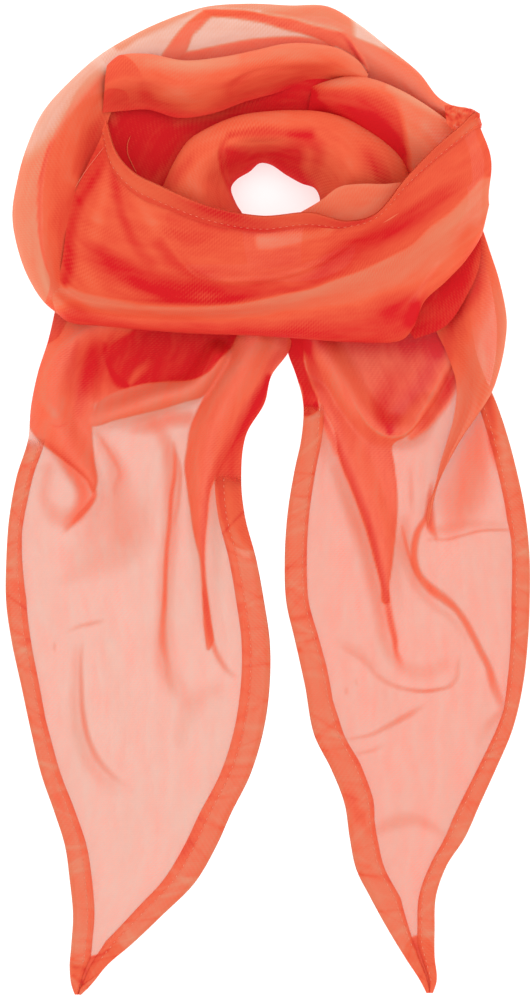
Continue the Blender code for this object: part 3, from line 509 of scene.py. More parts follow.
FRONT_DRESS = {
    "patches": {
        "swag": ((4, 0.22, 1), [(-71, 176.5), (-61, 157), (-50.5, 142.5), (-38.5, 133.5), (-22, 131),
            (-5, 131.5), (12.5, 133.5), (33, 142), (46, 153.5), (63.5, 163), (55, 167.5), (37, 165.5),
            (-11, 161.5), (-35, 164), (-53, 171.5)]),
        "corner": ((4, 0.36, 0.8), [(-61, 169), (-47, 165.5), (-24, 161), (-35, 155), (-48.5, 150.5),
            (-56.5, 158)]),
        "thin": ((3, -0.22, 2.4), [(-6.5, 158), (-3, 158.5), (30, 161), (41, 163), (37, 158), (23, 154),
            (11, 151), (0, 149), (-6, 149.5)]),
        "left_dark": ((4, 0.6, 4), [(-110, 211), (-94, 211), (-101, 193), (-109, 182), (-112, 176),
            (-118, 176), (-121, 186)]),
        "roll": ((4, -0.5, 1.2), [(-131, 131.5), (-120, 127.5), (-95, 119.5), (-77, 117.5), (-3.5, 119.5),
            (13, 123.5), (25, 125.5), (37, 130), (61, 139), (73, 145), (85, 151.5), (97, 162.5),
            (109, 171.5), (121, 184), (128.5, 191.5), (139, 191.5), (139, 143.5), (109, 119.5), (97, 89.5),
            (19, 88.5), (-53, 92), (-113, 95.5), (-137, 109), (-138, 125.5)]),
    },
    "shades": {
        "left_edge": [(-98, 199, 4, 0.15), (-106, 186, 5, 0.4), (-112, 177, 6, 0.45), (-119, 156, 7, 0.62),
            (-119, 142, 7, 0.62), (-121, 130, 6, 0.7)],
        "strip": [(-96, 196, 4, 0), (-98, 182, 5, -0.25), (-102, 166, 7, -0.3), (-104, 153, 7, -0.2)],
        "hem_fold": [(-94, 204, 4, 0.15), (-91, 186, 5, 0.45), (-88, 172, 5, 0.45), (-78, 150, 6, 0.45),
            (-70, 141, 7, 0.3)],
        "light": [(-82, 192, 5, -0.1), (-77, 178, 7, -0.25), (-70, 168, 8, -0.35), (-66, 158, 6, -0.15)],
        "swag_side": [(-65, 152, 7, 0.4), (-58, 144, 8, 0.5), (-38, 134, 5, 0.1)],
        "swag_rim": [(-66, 164, 1.8, 0), (-60, 154, 2.4, -0.15), (-38, 132, 2.4, -0.2),
            (-22, 130, 2.4, -0.15), (-4, 131, 2.4, -0.1), (13, 134, 2.4, 0)],
        "valley_line": [(-89, 120, 4, 0), (-79, 118, 4, 0.35), (-65, 118, 4, 0.5), (-41, 118, 4, 0.5),
            (-17, 120, 4, 0.45), (-4, 122, 4, 0.3), (31, 130, 3, 0.2), (49, 139, 4, 0.2)],
        "valley": [(-110, 154, 4, 0.1), (-103, 151, 5, 0.45), (-89, 140, 10, 0.65), (-71, 129, 13, 0.64),
            (-52, 126, 13, 0.6), (-38, 128, 12, 0.5), (-26, 124, 10, 0.5), (-11, 125, 8, 0.5),
            (1, 128, 7, 0.35), (13, 126, 5, 0.2), (22, 130, 6, 0.3), (30, 134, 8, 0.45), (37, 141, 10, 0.5),
            (58, 153, 12, 0.62), (70, 158, 12, 0.68), (109, 184, 8, 0.25), (120, 191, 6, 0)],
        "valley_start": [(-112, 153, 5, 0), (-106, 148, 7, 0.35), (-100, 141, 8, 0.4), (-92, 134, 7, 0.3),
            (-85, 129, 5, 0)],
        "end_broad": [(128, 166, 7, 0.05), (120, 152, 11, 0.5), (109, 139, 12, 0.5), (84, 121, 14, 0.5),
            (74, 112, 13, 0.3), (67, 106, 8, 0)],
        "valley_deep": [(-90, 134, 5, 0), (-80, 129, 5, 0.25), (-67, 124, 5, 0.3), (-32, 124, 5, 0.15),
            (-17, 124, 4, 0)],
        "corner_light": [(-116, 142, 5, 0), (-110, 135, 7, -0.25), (-104, 128, 7, -0.3),
            (-98, 124, 6, -0.1)],
        "under_hem": [(-58, 171, 4, 0.2), (-47, 169, 4, 0.35), (-37, 165, 4, 0.35), (-22, 161, 4, 0.3),
            (-2, 160, 4, 0.45), (26, 162, 4, 0.2), (37, 160, 4, 0)],
        "thin_spot": [(-4, 154, 4, -0.25), (7, 154, 5, -0.2), (19, 157, 4, 0)],
        "lower_dark": [(-19, 142, 5, 0), (-4, 140, 7, 0.05), (13, 142, 6, 0.05)],
        "hem_right": [(76, 174, 4, 0), (80, 184, 4, 0.1), (91, 195, 4, 0.1), (106, 204, 4, 0)],
        "roll_shade": [(-133, 112, 5, 0.2), (-127, 110, 8, 0.7), (-119, 108, 14, 1.2), (-107, 104, 16, 1.25),
            (-80, 101, 18, 1.25), (-53, 99, 20, 1.25), (1, 97, 22, 1.3), (25, 96, 30, 1.3),
            (49, 95, 37, 1.3), (70, 94, 43, 1.15), (84, 95, 30, 0.7)],
        "roll_lit": [(-110, 122, 5, 0), (-95, 112, 6, -0.1), (-71, 111, 7, -0.15), (-41, 111, 7, -0.2),
            (-11, 111, 7, -0.1), (13, 116, 6, 0)],
        "roll_left": [(-125, 122, 4, 0.3), (-115, 116, 7, 0.4), (-107, 110, 6, 0.2), (-98, 107, 5, 0)],
        "roll_end": [(82, 100, 12, 0.3), (89, 109, 12, 0.75), (91, 116, 8, 0.6), (98, 120, 8, 0.45),
            (108, 128, 8, 0.4), (126, 151, 8, 0.3), (131, 164, 8, 0.25)],
        "roll_corner": [(74, 98, 5, 0), (82, 102, 6, 0.2), (86, 109, 6, 0.4), (88, 116, 5, 0.3),
            (89, 121, 4, 0)],
        "roll_low": [(55, 109, 13, 0.1), (70, 112, 18, 0.5), (82, 116, 18, 0.6), (91, 121, 10, 0.2)],
        "ridge": [(-2, 117, 5, -0.15), (14, 120, 5, -0.25), (31, 126, 5, -0.25), (62, 136, 5, -0.08),
            (79, 144, 5, -0.12), (97, 154, 5, -0.1), (110, 165, 5, -0.25), (121, 176, 5, -0.2),
            (127, 184, 4, 0)],
        "crease": [(90, 121, 1.8, 0), (89, 115, 1.8, 0.2), (91, 108, 1.8, 0.2), (93, 100, 1.8, 0)],
        "facet": [(108, 152, 8, 0), (116, 160, 8, 0.18), (124, 169, 6, 0.1)],
    },
    "folds": {
        "valley": [(-104, 148, 8, 0), (-85, 138, 12, -1.2), (-65, 129, 12, -1.5), (-26, 127, 11, -1.5),
            (19, 133, 10, -1.2), (58, 152, 11, -1.5), (90, 172, 10, -1), (109, 184, 7, 0)],
        "hem_fold": [(-94, 201, 6, 0), (-88, 177, 7, -1.2), (-78, 150, 7, -0.8), (-70, 140, 6, 0)],
        "light": [(-82, 193, 6, 0), (-71, 170, 8, 1.2), (-62, 150, 7, 0)],
        "swag_edge": [(-59, 155, 1.8, 0), (-38, 134, 2.4, 0.8), (-5, 131, 2.4, 0.9), (33, 142, 2.4, 0.8),
            (62, 162, 2.4, 0)],
        "strip": [(-103, 180, 7, 0), (-101, 165, 8, 0.8), (-97, 153, 6, 0)],
    },
}
LEFT_DRESS = {
    "patches": {
        "outer": ((4.2, -0.75, 0.8), [(-85, 266), (-90, 264.5), (-103, 256.5), (-114.5, 243.5),
            (-119, 233.5), (-122.5, 226.5), (-129, 215), (-135, 199), (-137.5, 179.5), (-134, 142.5),
            (-130, 129.5), (-134.5, 116), (-149, 137.5), (-158, 164.5), (-158, 185.5), (-152, 215.5),
            (-137, 242.5), (-101, 278), (-83, 287.5)]),
        "outer_top": ((2.2, -1.5, 9), [(-71, 276), (-85, 266), (-103, 254), (-121, 230), (-130, 216),
            (-149, 204), (-161, 216), (-143, 264), (-113, 288), (-65, 300)]),
    },
    "shades": {
        "inner": [(-95, 236, 5, 0), (-98, 229, 7, 0.25), (-101, 219, 12, 0.6), (-103, 208, 17, 0.75),
            (-109, 188, 14, 0.65), (-119, 169, 11, 0.6), (-122, 142, 5, 0.3), (-123, 132, 4, 0.3)],
        "bulge": [(-122, 195, 6, 0), (-113, 188, 5, -0.35), (-106, 182, 4, 0)],
        "edge_light": [(-102, 254, 5, -0.3), (-112, 242, 5, -0.2), (-118, 230, 5, -0.1), (-126, 214, 5, 0)],
        "low_light": [(-133, 157, 6, -0.05), (-130, 129, 6, -0.2), (-126, 124, 5, -0.3)],
        "mid": [(-125, 210, 6, 0), (-127, 177, 7, 0.15), (-127, 165, 6, 0.15), (-127, 153, 5, 0)],
        "band_line": [(-91.2, 263.1, 1.5, 0), (-103, 255, 1.8, 0.15), (-113, 243, 1.8, 0.2),
            (-121, 226, 1.8, 0.22), (-128, 214, 1.8, 0.25), (-134, 198, 1.8, 0.28), (-136, 180, 1.8, 0.28),
            (-133, 142, 1.8, 0.2), (-129, 130, 1.8, 0)],
        "rim": [(-140, 142, 4, 0.1), (-137, 129, 4, 0.1)],
    },
    "folds": {
        "inner": [(-98, 229, 8, 0), (-103, 208, 14, -1), (-107, 188, 11, -1), (-117, 169, 7, -0.5),
            (-120, 150, 5, 0)],
        "light": [(-110, 244, 5, 0), (-124, 216, 6, 0.6), (-130, 189, 6, 0.6), (-131, 156, 5, 0)],
    },
}
BACK_DRESS = {
    "patches": {
        "sheer": ((2.6, -1.85, 6), [(-107, 264), (-89, 288), (-41, 306), (49, 306), (79, 282), (62, 264),
            (43, 258), (-11, 258), (-65, 252), (-95, 255)]),
        "rim": ((3, -1.1, 2.5), [(-95, 275.5), (-71, 285.5), (-26, 302), (19, 302), (46, 296), (42, 293),
            (19, 293.5), (0, 292.5), (-32.5, 293.5), (-41, 292.5), (-49, 288.5), (-60, 283), (-77, 275.5),
            (-90, 268.5)]),
        "top_right": ((3, -0.6, 4), [(-2, 291), (25, 295), (46, 296), (50, 276), (43, 280), (25, 285),
            (3, 290)]),
        "left_hem": ((3, -0.1, 1.5, 0.6, 2), [(-64, 263.5), (-59, 272), (-53, 280), (-45.5, 287.5),
            (-39, 292), (-32, 293), (-25, 291.5), (-33.5, 288.5), (-37, 285.5), (-41, 281), (-44.5, 278),
            (-47, 272), (-50, 265.5), (-54, 260)]),
        "top_hem": ((3.4, 0.1, 1.5, 0.6, 2), [(-39, 292), (-26, 293), (-11, 292), (3, 289), (13, 287.5),
            (24.5, 284), (38, 280.5), (47, 278), (53, 269.5), (59, 261.5), (60, 255.5), (54, 257.5),
            (45.5, 265), (38.5, 269.5), (32, 274), (21.5, 278), (11, 280.5), (0, 284), (-13, 286.5),
            (-23, 288), (-33.5, 289)]),
        "lower_hem": ((3, -0.05, 1.5, 0.4, 3), [(-50.5, 266.5), (-41, 269), (-27, 272), (-11, 275),
            (7, 276.5), (19, 276.5), (32.5, 274), (43, 267.5), (54, 257.5), (60, 250.5), (46, 245.5),
            (19, 251.5), (-11, 248.5), (-47, 248.5), (-54, 260)]),
        "moire": ((2.2, -1.35, 1.2), [(39.5, 270.5), (46, 268), (53.5, 263), (59, 257.5), (59.5, 253),
            (53, 256.5), (46, 263), (39.5, 267.5)]),
        "right": ((3, -0.3, 1.5), [(45, 279.5), (54, 275.5), (64, 271.5), (76, 265), (91, 256.5), (107, 241),
            (121, 232.5), (109, 218.5), (91, 233.5), (77.5, 242.5), (59, 249.5), (59.5, 257.5),
            (53.5, 268.5)]),
    },
    "shades": {
        "fold": [(45, 277, 2.4, 0), (49, 272, 3, 0.6), (54, 265, 3, 0.55), (59, 256, 2.4, 0.3),
            (61, 252, 2.4, 0)],
        "right_dark": [(60, 255, 6, 0.2), (70, 250, 7, 0.35), (77, 246, 6, 0.25), (82, 242, 4, 0)],
        "notch": [(78, 253, 2.4, 0), (82, 247, 2.4, 0.25), (88, 240, 2.4, 0.2), (94, 235, 2.4, 0)],
        "top": [(13, 289, 3, 0), (38, 281, 3, 0.15), (46, 278, 3, 0.1)],
        "lower": [(-11, 270, 3, 0), (25, 271, 4, 0.25), (40, 266, 3, 0.1)],
    },
    "folds": {
        "fold": [(45, 278, 1.8, 0), (53, 268, 2.4, 0.8), (60, 255, 1.8, 0)],
        "window": [(-37, 273, 3, 0), (-23, 280, 5, 0.7), (-11, 285, 3, 0)],
    },
}
BACK_ROLL_DRESS = {
    "patches": {
        "end_top": ((4, 0.18, 0.8, 0.6, 3), [(-95.5, 260), (-92.5, 263.5), (-88, 265.5), (-82, 262.5),
            (-77.5, 257), (-74.5, 248), (-84, 244), (-93.5, 244.5), (-96.5, 245)]),
        "end_low": ((4, 0.6, 0.8, 0.3, 3), [(-96.5, 244.5), (-84.5, 243), (-83, 237.5), (-88, 232),
            (-93, 230), (-99, 230.5)]),
    },
    "shades": {
        "end": [(-75, 249, 5, 0.1), (-73, 242, 7, 0.3), (-67, 237, 5, 0.1)],
        "low_rim": [(-71, 232, 4, 0.1), (-53, 229, 4, 0.1), (-34, 232, 5, 0), (-23, 241, 5, 0.1)],
        "groove": [(-34, 244, 4, 0), (-19, 249, 4, 0.3), (-11, 254, 4, 0.1), (1, 258, 4, 0.05),
            (19, 258, 5, 0.1), (37, 256, 4, 0.1)],
        "hollow": [(0, 243, 4, 0.1), (12, 246, 5, 0.2), (23, 248, 5, 0.3), (31, 249, 4, 0.2)],
        "top": [(-71, 260, 6, -0.25), (-53, 260, 8, -0.5), (-35, 260, 8, -0.5), (-20, 262, 6, -0.3)],
        "top_line": [(-11, 262, 5, -0.1), (7, 264, 7, -0.2), (25, 262, 6, -0.2), (40, 258, 4, 0)],
        "right_end": [(25, 253, 5, -0.1), (37, 254, 6, -0.35), (48, 254, 6, -0.35), (56, 254, 4, -0.2)],
        "mid": [(-71, 240, 5, -0.1), (-59, 241, 8, -0.42), (-41, 238, 9, -0.45), (-29, 242, 7, -0.25)],
    },
    "folds": {
        "groove": [(-26, 242, 4, 0), (-17, 250, 3, -0.8), (0, 256, 3, -0.8), (25, 256, 4, 0)],
        "mid": [(-71, 241, 5, 0), (-50, 240, 6, 0.7), (-32, 240, 5, 0)],
    },
}
RIGHT_ROLL_DRESS = {
    "patches": {
        "lit": ((4, -0.4, 4), [(71, 249), (75, 242), (84, 206), (86, 196), (94, 201), (106, 213), (116, 223),
            (103, 236), (88, 244)]),
    },
    "shades": {
        "rim": [(35, 247, 4, -0.3), (41, 248, 5, -0.6), (48, 248, 5, -0.5), (55, 248, 5, -0.3),
            (66, 248, 5, -0.2)],
        "red": [(49, 241, 4, 0), (59, 238, 5, 0.15), (68, 235, 6, 0.1), (76, 226, 6, 0)],
        "hollow": [(43, 234, 5, 0.1), (54, 230, 7, 0.35), (65, 225, 8, 0.45), (73, 217, 7, 0.35),
            (79, 207, 5, 0.25)],
        "lit_rim": [(72, 246, 4, -0.5), (91, 236, 5, -0.6), (102, 230, 4, -0.5), (110, 224, 2.4, -0.2)],
        "start": [(19, 249, 10, 1.4), (24, 246, 8, 1.2), (26, 238, 7, 0.8), (32, 234, 5, 0.3)],
        "facet": [(90, 229, 5, 0), (94, 224, 6, -0.3), (90, 216, 5, 0)],
    },
    "folds": {
        "facet": [(78, 237, 5, 0), (90, 224, 8, 0.8), (91, 210, 6, 0)],
    },
}
NECK_DRESS = {
    "patches": {
        "cheek": ((5, 0.1, 10), [(13, 225), (26, 228), (54, 219), (70, 210), (83, 192), (76, 183), (61, 181),
            (43, 181), (32, 181), (19, 204), (14, 212)]),
        "inner": ((5, 0.92, 6), [(-26, 210), (-26, 196), (-19, 178), (-13, 168), (-4, 166), (25, 170),
            (29, 182), (21, 199), (22, 206), (20, 210), (1, 210), (-14, 209)]),
    },
    "shades": {
        "crest": [(-46, 210, 5, 0), (-38, 219, 6, -0.12), (-28, 226, 5, -0.12), (-11, 228, 5, -0.1),
            (7, 230, 4, -0.05), (25, 228, 4, 0)],
        "left_rim": [(-65, 175, 7, 0.3), (-61, 184, 8, 0.5), (-48, 201, 7, 0.4), (-42, 208, 5, 0.15),
            (-34, 214, 5, 0)],
        "left_mid": [(-48, 198, 5, 0), (-45, 188, 5, -0.15), (-40, 180, 5, 0)],
        "stripe_top": [(-23, 218, 4, 0.35), (-4, 219, 5, 0.55), (25, 218, 6, 0.55)],
        "stripe": [(-22, 212, 2.4, -0.1), (-4, 212, 2.4, -0.15), (10, 213, 2.4, -0.05)],
        "cheek": [(14, 217, 5, 0.3), (24, 214, 8, 0.55), (30, 208, 8, 0.5), (28, 199, 7, 0.35),
            (28, 189, 5, 0.1)],
        "cheek_light": [(41, 223, 5, 0), (49, 216, 5, -0.1), (50, 206, 5, -0.08), (47, 194, 6, -0.08),
            (43, 187, 5, 0)],
        "cheek_red": [(55, 212, 5, 0), (60, 205, 8, 0.4), (65, 198, 8, 0.55), (71, 188, 7, 0.35)],
        "right_rim": [(50, 225, 4, -0.1), (73, 210, 4, -0.25), (80, 200, 4, -0.1)],
        "fold": [(-17, 219, 2.4, 0), (-24, 216, 2.4, 0.3), (-28, 210, 2.4, 0.4), (-28, 200, 2.4, 0.35),
            (-20, 180, 2.4, 0.2)],
    },
    "folds": {
        "fold": [(-14, 220, 2.4, 0), (-24, 216, 2.4, -0.9), (-28, 210, 3, -1.2), (-26, 196, 3, -0.9),
            (-21, 181, 2.4, 0)],
        "stripe": [(-20, 216, 3, 0), (-4, 216, 4, 0.8), (19, 217, 4, 0)],
        "cheek": [(43, 219, 5, 0), (47, 206, 7, 0.8), (44, 192, 6, 0)],
    },
}
PIT_DRESS = {
    "shades": {
        "left": [(-95, 232, 5, -0.45), (-92, 226, 4, -0.3), (-90, 220, 3, 0)],
        "foot": [(-71, 186, 6, -0.3), (-65, 193, 6, -0.4), (-52, 210, 4, 0)],
        "back": [(-54, 226, 6, -0.2), (-42, 228, 6, -0.35), (-17, 235, 5, -0.2), (13, 238, 4, 0)],
    },
}
SHOULDER_DRESS = {
    "patches": {
        "under": ((5, 0.2, 14), [(124, 166), (132, 158), (133, 142), (120, 93), (113, 76), (106, 64),
            (96, 72), (91, 96), (103, 120), (115, 150)]),
    },
    "shades": {
        "top": [(127, 157, 6, 0.4), (127, 142, 7, 0.4), (124, 128, 8, 0.55), (109, 104, 8, 0.6),
            (107, 92, 8, 0.45), (105, 80, 8, 0.4), (103, 66, 6, 0.2)],
        "outer": [(141, 130, 4, -0.25), (142, 99, 5, -0.4), (139, 84, 5, -0.35), (136, 69, 5, -0.3),
            (130, 55, 4, -0.3)],
        "streak": [(126, 96, 2.4, 0), (129, 86, 3, -0.3), (130, 76, 3, -0.25), (127, 67, 2.4, 0)],
    },
}
LOWER_FOLD_DRESS = {
    "shades": {
        "edge": [(131, 156, 5, -0.3), (127, 142, 6, -0.45), (122, 128, 5, -0.2), (104, 104, 4, 0)],
        "low": [(96, 120, 10, 0.15), (107, 127, 10, 0.2), (124, 148, 6, 0)],
    },
}
FLAP_DRESS = {
    "shades": {
        "top": [(35, 180, 2.4, -0.1), (43, 186, 2.4, -0.2), (62, 188, 3, -0.2), (74, 187, 2.4, -0.2),
            (80, 188, 2.4, 0)],
        "low": [(43, 166, 4, 0), (56, 171, 4, -0.2), (66, 178, 4, -0.2), (73, 182, 3, 0)],
    },
}
FRONT_HEM_DRESS = {
    "shades": {
        "middle": [(-56, 176, 8, 0.1), (-36, 173, 9, 0.55), (-5, 164, 10, 0.4), (15, 166, 8, 0.1),
            (30, 166, 8, 0.35), (44, 164, 6, 0.55), (58, 168, 5, 0.65), (68, 178, 5, 0.5),
            (76, 187, 4, 0.25)],
        "left": [(-96, 214, 5, 0.1), (-90, 200, 6, -0.1), (-76, 187, 6, -0.2), (-62, 182, 6, 0)],
        "right": [(84, 196, 5, 0.1), (96, 207, 6, 0.1), (112, 215, 6, -0.1), (122, 222, 6, -0.4)],
    },
}

# The crumpled end of the front hem, and two fine lines: x, y, z along each edge, and x, y.
TWIST_FAR = [(105, 235, 34), (111, 234.6, 37), (115, 233, 41), (121, 232.4, 44), (126, 229.5, 46)]
TWIST_NEAR = [(106.5, 223.5, 37), (112, 219.5, 40), (117, 221, 43), (121, 224, 45), (126, 227.5, 47)]
FAR_HEM_EDGE = [(-82.2, 217.5), (-84, 212.7), (-84, 207.3), (-81.6, 201.3), (-78.6, 195.3)]
LOOSE_THREAD = [(-97.8, 210.3), (-102.6, 204.3), (-108.6, 196.5), (-115.2, 186.3)]

# The tails' hems: how broad the folded-in band is, the y below which the hem shows, how far its stitches
# lie from its inner edge and stop before its end, and (y, breadth) down the hem.
INNER_HEM_WIDTH = 16.0
OUTER_HEM_WIDTH = 12.0
HEMS = {
    "left_tail_outer_hem": {
        "at_left": True, "band": OUTER_HEM_WIDTH, "top": 37.0, "inset": 3.4, "ends": 30.0,
        "widths": [(60, 11), (0, 9.5), (-20, 8.5), (-36, 9.5), (-60, 12.3), (-108, 11), (-132, 10.4),
            (-180, 12.5), (-228, 13.5), (-264, 12.5)],
    },
    "left_tail_inner_hem": {
        "at_left": False, "band": INNER_HEM_WIDTH, "top": 15.0, "inset": 5.4, "ends": 34.0,
        "widths": [(0, 16), (-84, 17), (-156, 18), (-190, 19), (-240, 20), (-270, 17)],
    },
    "right_tail_inner_hem": {
        "at_left": True, "band": INNER_HEM_WIDTH, "top": 57.0, "inset": 2.6, "ends": 40.0,
        "widths": [(58, 12), (0, 13), (-60, 13.5), (-100, 15.5), (-120, 15.2), (-132, 17.2), (-156, 19),
            (-180, 18), (-192, 16.3), (-220, 17), (-245, 18), (-270, 17)],
    },
    "right_tail_outer_hem": {
        "at_left": False, "band": OUTER_HEM_WIDTH, "top": 90.0, "inset": 2.8, "ends": 6.0,
        "widths": [(60, 11.5), (-12, 11.5), (-24, 10.4), (-60, 11), (-108, 9.8), (-126, 8.7), (-144, 10.4),
            (-180, 12), (-192, 12.5), (-204, 12), (-220, 10.2), (-252, 10.4)],
    },
}
TAILS = {
    "left_tail": {
        "table": LEFT_TAIL, "ridges": LEFT_TAIL_RIDGES, "drawn": LEFT_TAIL_DRESS,
        "hems": ("left_tail_outer_hem", "left_tail_inner_hem"), "single_layers": 1.2, "single_tone": -0.85,
    },
    "right_tail": {
        "table": RIGHT_TAIL, "ridges": RIGHT_TAIL_RIDGES, "drawn": RIGHT_TAIL_DRESS,
        "hems": ("right_tail_inner_hem", "right_tail_outer_hem"), "single_layers": 1.35, "single_tone": -0.72,
    },
}

RIDGE_EVENINGS = 3  # how often the main folds are evened out

HEM_SHARE_AT_TIP = 0.46  # of the tail's breadth, at most
HEM_STEPS = 16
HEM_LIFT = 0.15
HEM_SLOPE = 2.0  # over the last of its breadth a hem comes down to the cloth
HEM_THICKNESS = 0.9
HEM_LAYERS = 2.6
HEM_TONE = -0.38
HEM_FADE = 16.0  # over this much of its length a hem appears from under the ring
FOLDED_UNDER_STEPS = 3
# How the folded-in part and the rim of a hem differ from the rest of it.
FOLD_EDGE = 0.8
FOLDED_TONE = 0.3
FOLDED_LAYERS = 0.35
RIM_WIDTH = 1.2
RIM_TONE = -0.25
# How much a hem's tone follows what is drawn on its tail, with its painted shade and light, its layers and
# its own wrinkles, which are painted paler where they rise and deeper where they sink.
DRAWN_SHARE = 0.6
LAYERS_SHARE = 0.06
WRINKLE_SHARE = 0.9
FRONT_HEM_WIDTH = 11.0
FRONT_HEM_LAYERS = 2.0
FRONT_HEM_TONE = 0.15
FRONT_STITCH_INSET = 3.0
FRONT_STITCH_WIDTH = 0.3
STITCH_LENGTH = 2.4
STITCH_GAP = 1.5
STITCH_WIDTH = 0.5
STITCH_LIFT = 0.1
PUCKER_SPACING = 3.6
PUCKER_HEIGHT = 0.32
PUCKER_HALF_WIDTH = 1.3
PUCKER_SPREAD = (0.6, 1.6)  # narrowest and broadest, as shares of the half width
PUCKER_SLANT = 0.9
SEED = 4

CORD_SIDES = 8
CORD_STEP = 0.8
CORD_REACH = 1.3  # a cord lies on the highest points within this distance
TWIST_STEP = 0.5
TWIST_COLUMNS = 20
TWIST_TONE = 0.1
TWIST_CRUMPLES = 90
CRUMPLE_WIDTH = 0.8
CRUMPLE_LENGTH = 3.5
CRUMPLE_HEIGHT = 0.5
CRUMPLE_TONE = 0.45

# Tone of each roll across its section, from its rim to its inner edge: painted light and shade, paler where
# light falls on the rim and crest and deeper in the shade towards the inner edge.
SECTION_PLACES = (0.0, 0.2, 0.4, 0.7, 1.0)
SECTION_TONES = {
    "back_roll": (-0.45, -0.35, 0.0, 0.35, 0.75),
    "right_roll": (-0.45, 0.15, 0.65, 0.95, 1.0),
    "neck_roll": (-0.1, -0.12, -0.05, 0.3, 0.45),
}
SINGLE_TONE = -1.0  # a single sheet looks paler than the coral of several
FULL_LAYERS = 3.2  # layers from which a tail is no longer paler
LEAST_LAYERS = 0.3
STEEPEST = 0.4  # cloth that leans more than this looks no denser
# The hidden turns turn pale from this y on, over this many mm.
PALE_FROM = 222.0
PALE_OVER = 14.0

# The chiffon. Each sheet lets this share of the light through between its threads.
LET_THROUGH = 0.38
CORAL = (0.79, 0.118, 0.052, 1.0)
# Tone -1 turns to the pale coral of thin cloth, which also paints highlights on lit crests and rims.
PALE_CORAL = (0.71, 0.245, 0.14, 1.0)
SINGLE_CORAL = (0.54, 0.22, 0.13, 1.0)  # what PALE_CORAL is where a sheet lies alone on the ground
SHEER_CORAL = (0.76, 0.45, 0.36, 1.0)
# Tone 1 turns to this deep red: the coral of many layers, and painted shade in valleys, pits and under rolls.
SHADED_DEEP_CORAL = (0.63, 0.012, 0.016, 1.0)
THREAD_CORAL = (0.88, 0.32, 0.19, 1.0)
CLOTHS = {
    "coral_chiffon": PALE_CORAL,
    "coral_single_sheet": SINGLE_CORAL,
    "coral_hem": PALE_CORAL,
    "coral_folded_layers": PALE_CORAL,
}
THREAD_PITCH = 1.4  # millimetres from one thicker thread to the next
WAVE_SCALE = 0.314 / THREAD_PITCH
ALONG_THREADS = (0.25, 1.0, 1.0)
WEAVE_TONE = 0.36
SLUB_SCALE = 0.16
SLUB_TONE = 0.8
DRAG_SCALE = 0.06
DRAG_TONE = 0.5
SHOWING_POWER = 3.0
SHOWING_GAIN = 4.0
PLAIN_DENSITY = 0.94
SLUB_DENSITY = 0.30
WEAVE_DENSITY = 0.05

ORIGIN = (0.0, 0.0, 0.0)
KEY_PLACE = (-0.25, 1.6, 1.55)
KEY_TARGET = (0.0, 0.05, 0.0)
KEY_STRENGTH = 2.0
SUN_PLACE = (0.0, 0.0, 2.0)
OVERHEAD_STRENGTH = 0.1
GROUND_STRENGTH = 1.75
WORLD_STRENGTH = 1.14
CAMERA_LENS = 300.0
CAMERA_SENSOR = 36.0
CAMERA_HEIGHT = 5.0
CAMERA_REACH = 50.0
VIEW_CENTRE = (-0.0015, -0.0003)
FLOOR_SIZE = 6.0
FLOOR_DROP = 0.0003
FLOOR_WHITE = (0.95, 0.95, 0.95, 1.0)


def smooth(rows, step, loop=False):
    """The table's columns read along a smooth curve through its rows, about step mm apart."""
    rows = np.array(rows, float)
    if loop:
        rows = np.concatenate([rows[-2:], rows, rows[:2]])
    chords = np.linalg.norm(np.diff(rows, axis=0), axis=1)
    knots = np.concatenate([[0.0], np.cumsum(chords)])
    slopes = np.gradient(rows, knots, axis=0)
    begin, end = (knots[2], knots[-2]) if loop else (0.0, knots[-1])
    places = np.linspace(begin, end, max(2, round((end - begin) / step)) + 1)
    first = np.clip(np.searchsorted(knots, places, side="right") - 1, 0, len(chords) - 1)
    length = chords[first][:, None]
    t = (places[:, None] - knots[first][:, None]) / length
    start, stop = rows[first], rows[first + 1]
    leave, arrive = slopes[first] * length, slopes[first + 1] * length
    leaving = start * (2 * t**3 - 3 * t**2 + 1) + leave * (t**3 - 2 * t**2 + t)
    return leaving + stop * (3 * t**2 - 2 * t**3) + arrive * (t**3 - t**2)


def distances(points, axis=0):
    """How far along a line, or along the rows or columns of a grid, each point lies."""
    steps = np.linalg.norm(np.diff(points, axis=axis), axis=-1)
    return np.cumsum(np.insert(steps, 0, 0.0, axis=axis), axis=axis)


def read_at(spots, places, rows):
    """The rows' columns at the spots, where places says how far along each row lies."""
    return np.stack([np.interp(spots, places, column) for column in rows.T], axis=-1)


def unit(vectors):
    """The vectors at a length of one."""
    return vectors / np.linalg.norm(vectors, axis=-1, keepdims=True)


def blend(start, end, share):
    """A grid from rows of points to others, with one column for each share of the way."""
    return start[:, None] + (end - start)[:, None] * share.reshape(1, -1, *[1] * (start.ndim - 1))


def raised(plan, height):
    """A grid of points from its plan and its heights."""
    return np.concatenate([plan, height[..., None]], axis=-1)


def roll_outer_side():
    """(across, height) of a roll's section from the tuck to the crest."""
    angles = np.radians(np.linspace(-ROLL_TUCK_DEGREES, 90.0, ROLL_OUTER_STEPS + 1))
    deepest = np.sin(np.radians(ROLL_TUCK_DEGREES))
    below = ROLL_RIM_HEIGHT * (1 + np.sin(angles) / deepest)
    above = ROLL_RIM_HEIGHT + (1 - ROLL_RIM_HEIGHT) * np.sin(angles)
    return ROLL_CREST_ACROSS * (1 - np.cos(angles)), np.where(angles < 0, below, above)


def roll_inner_side():
    """(across, height) of a roll's section from just past the crest to the inner edge."""
    part = np.linspace(0.0, 1.0, ROLL_INNER_STEPS + 1)[1:]
    return ROLL_CREST_ACROSS + (1 - ROLL_CREST_ACROSS) * part, 0.5 * (1 + np.cos(np.pi * part))


def section_tone(name):
    """Tone of a roll's columns: the painted light and shade across its section."""
    across = np.concatenate([roll_outer_side()[0], roll_inner_side()[0]])
    return np.interp(across, SECTION_PLACES, SECTION_TONES[name])[None, :]


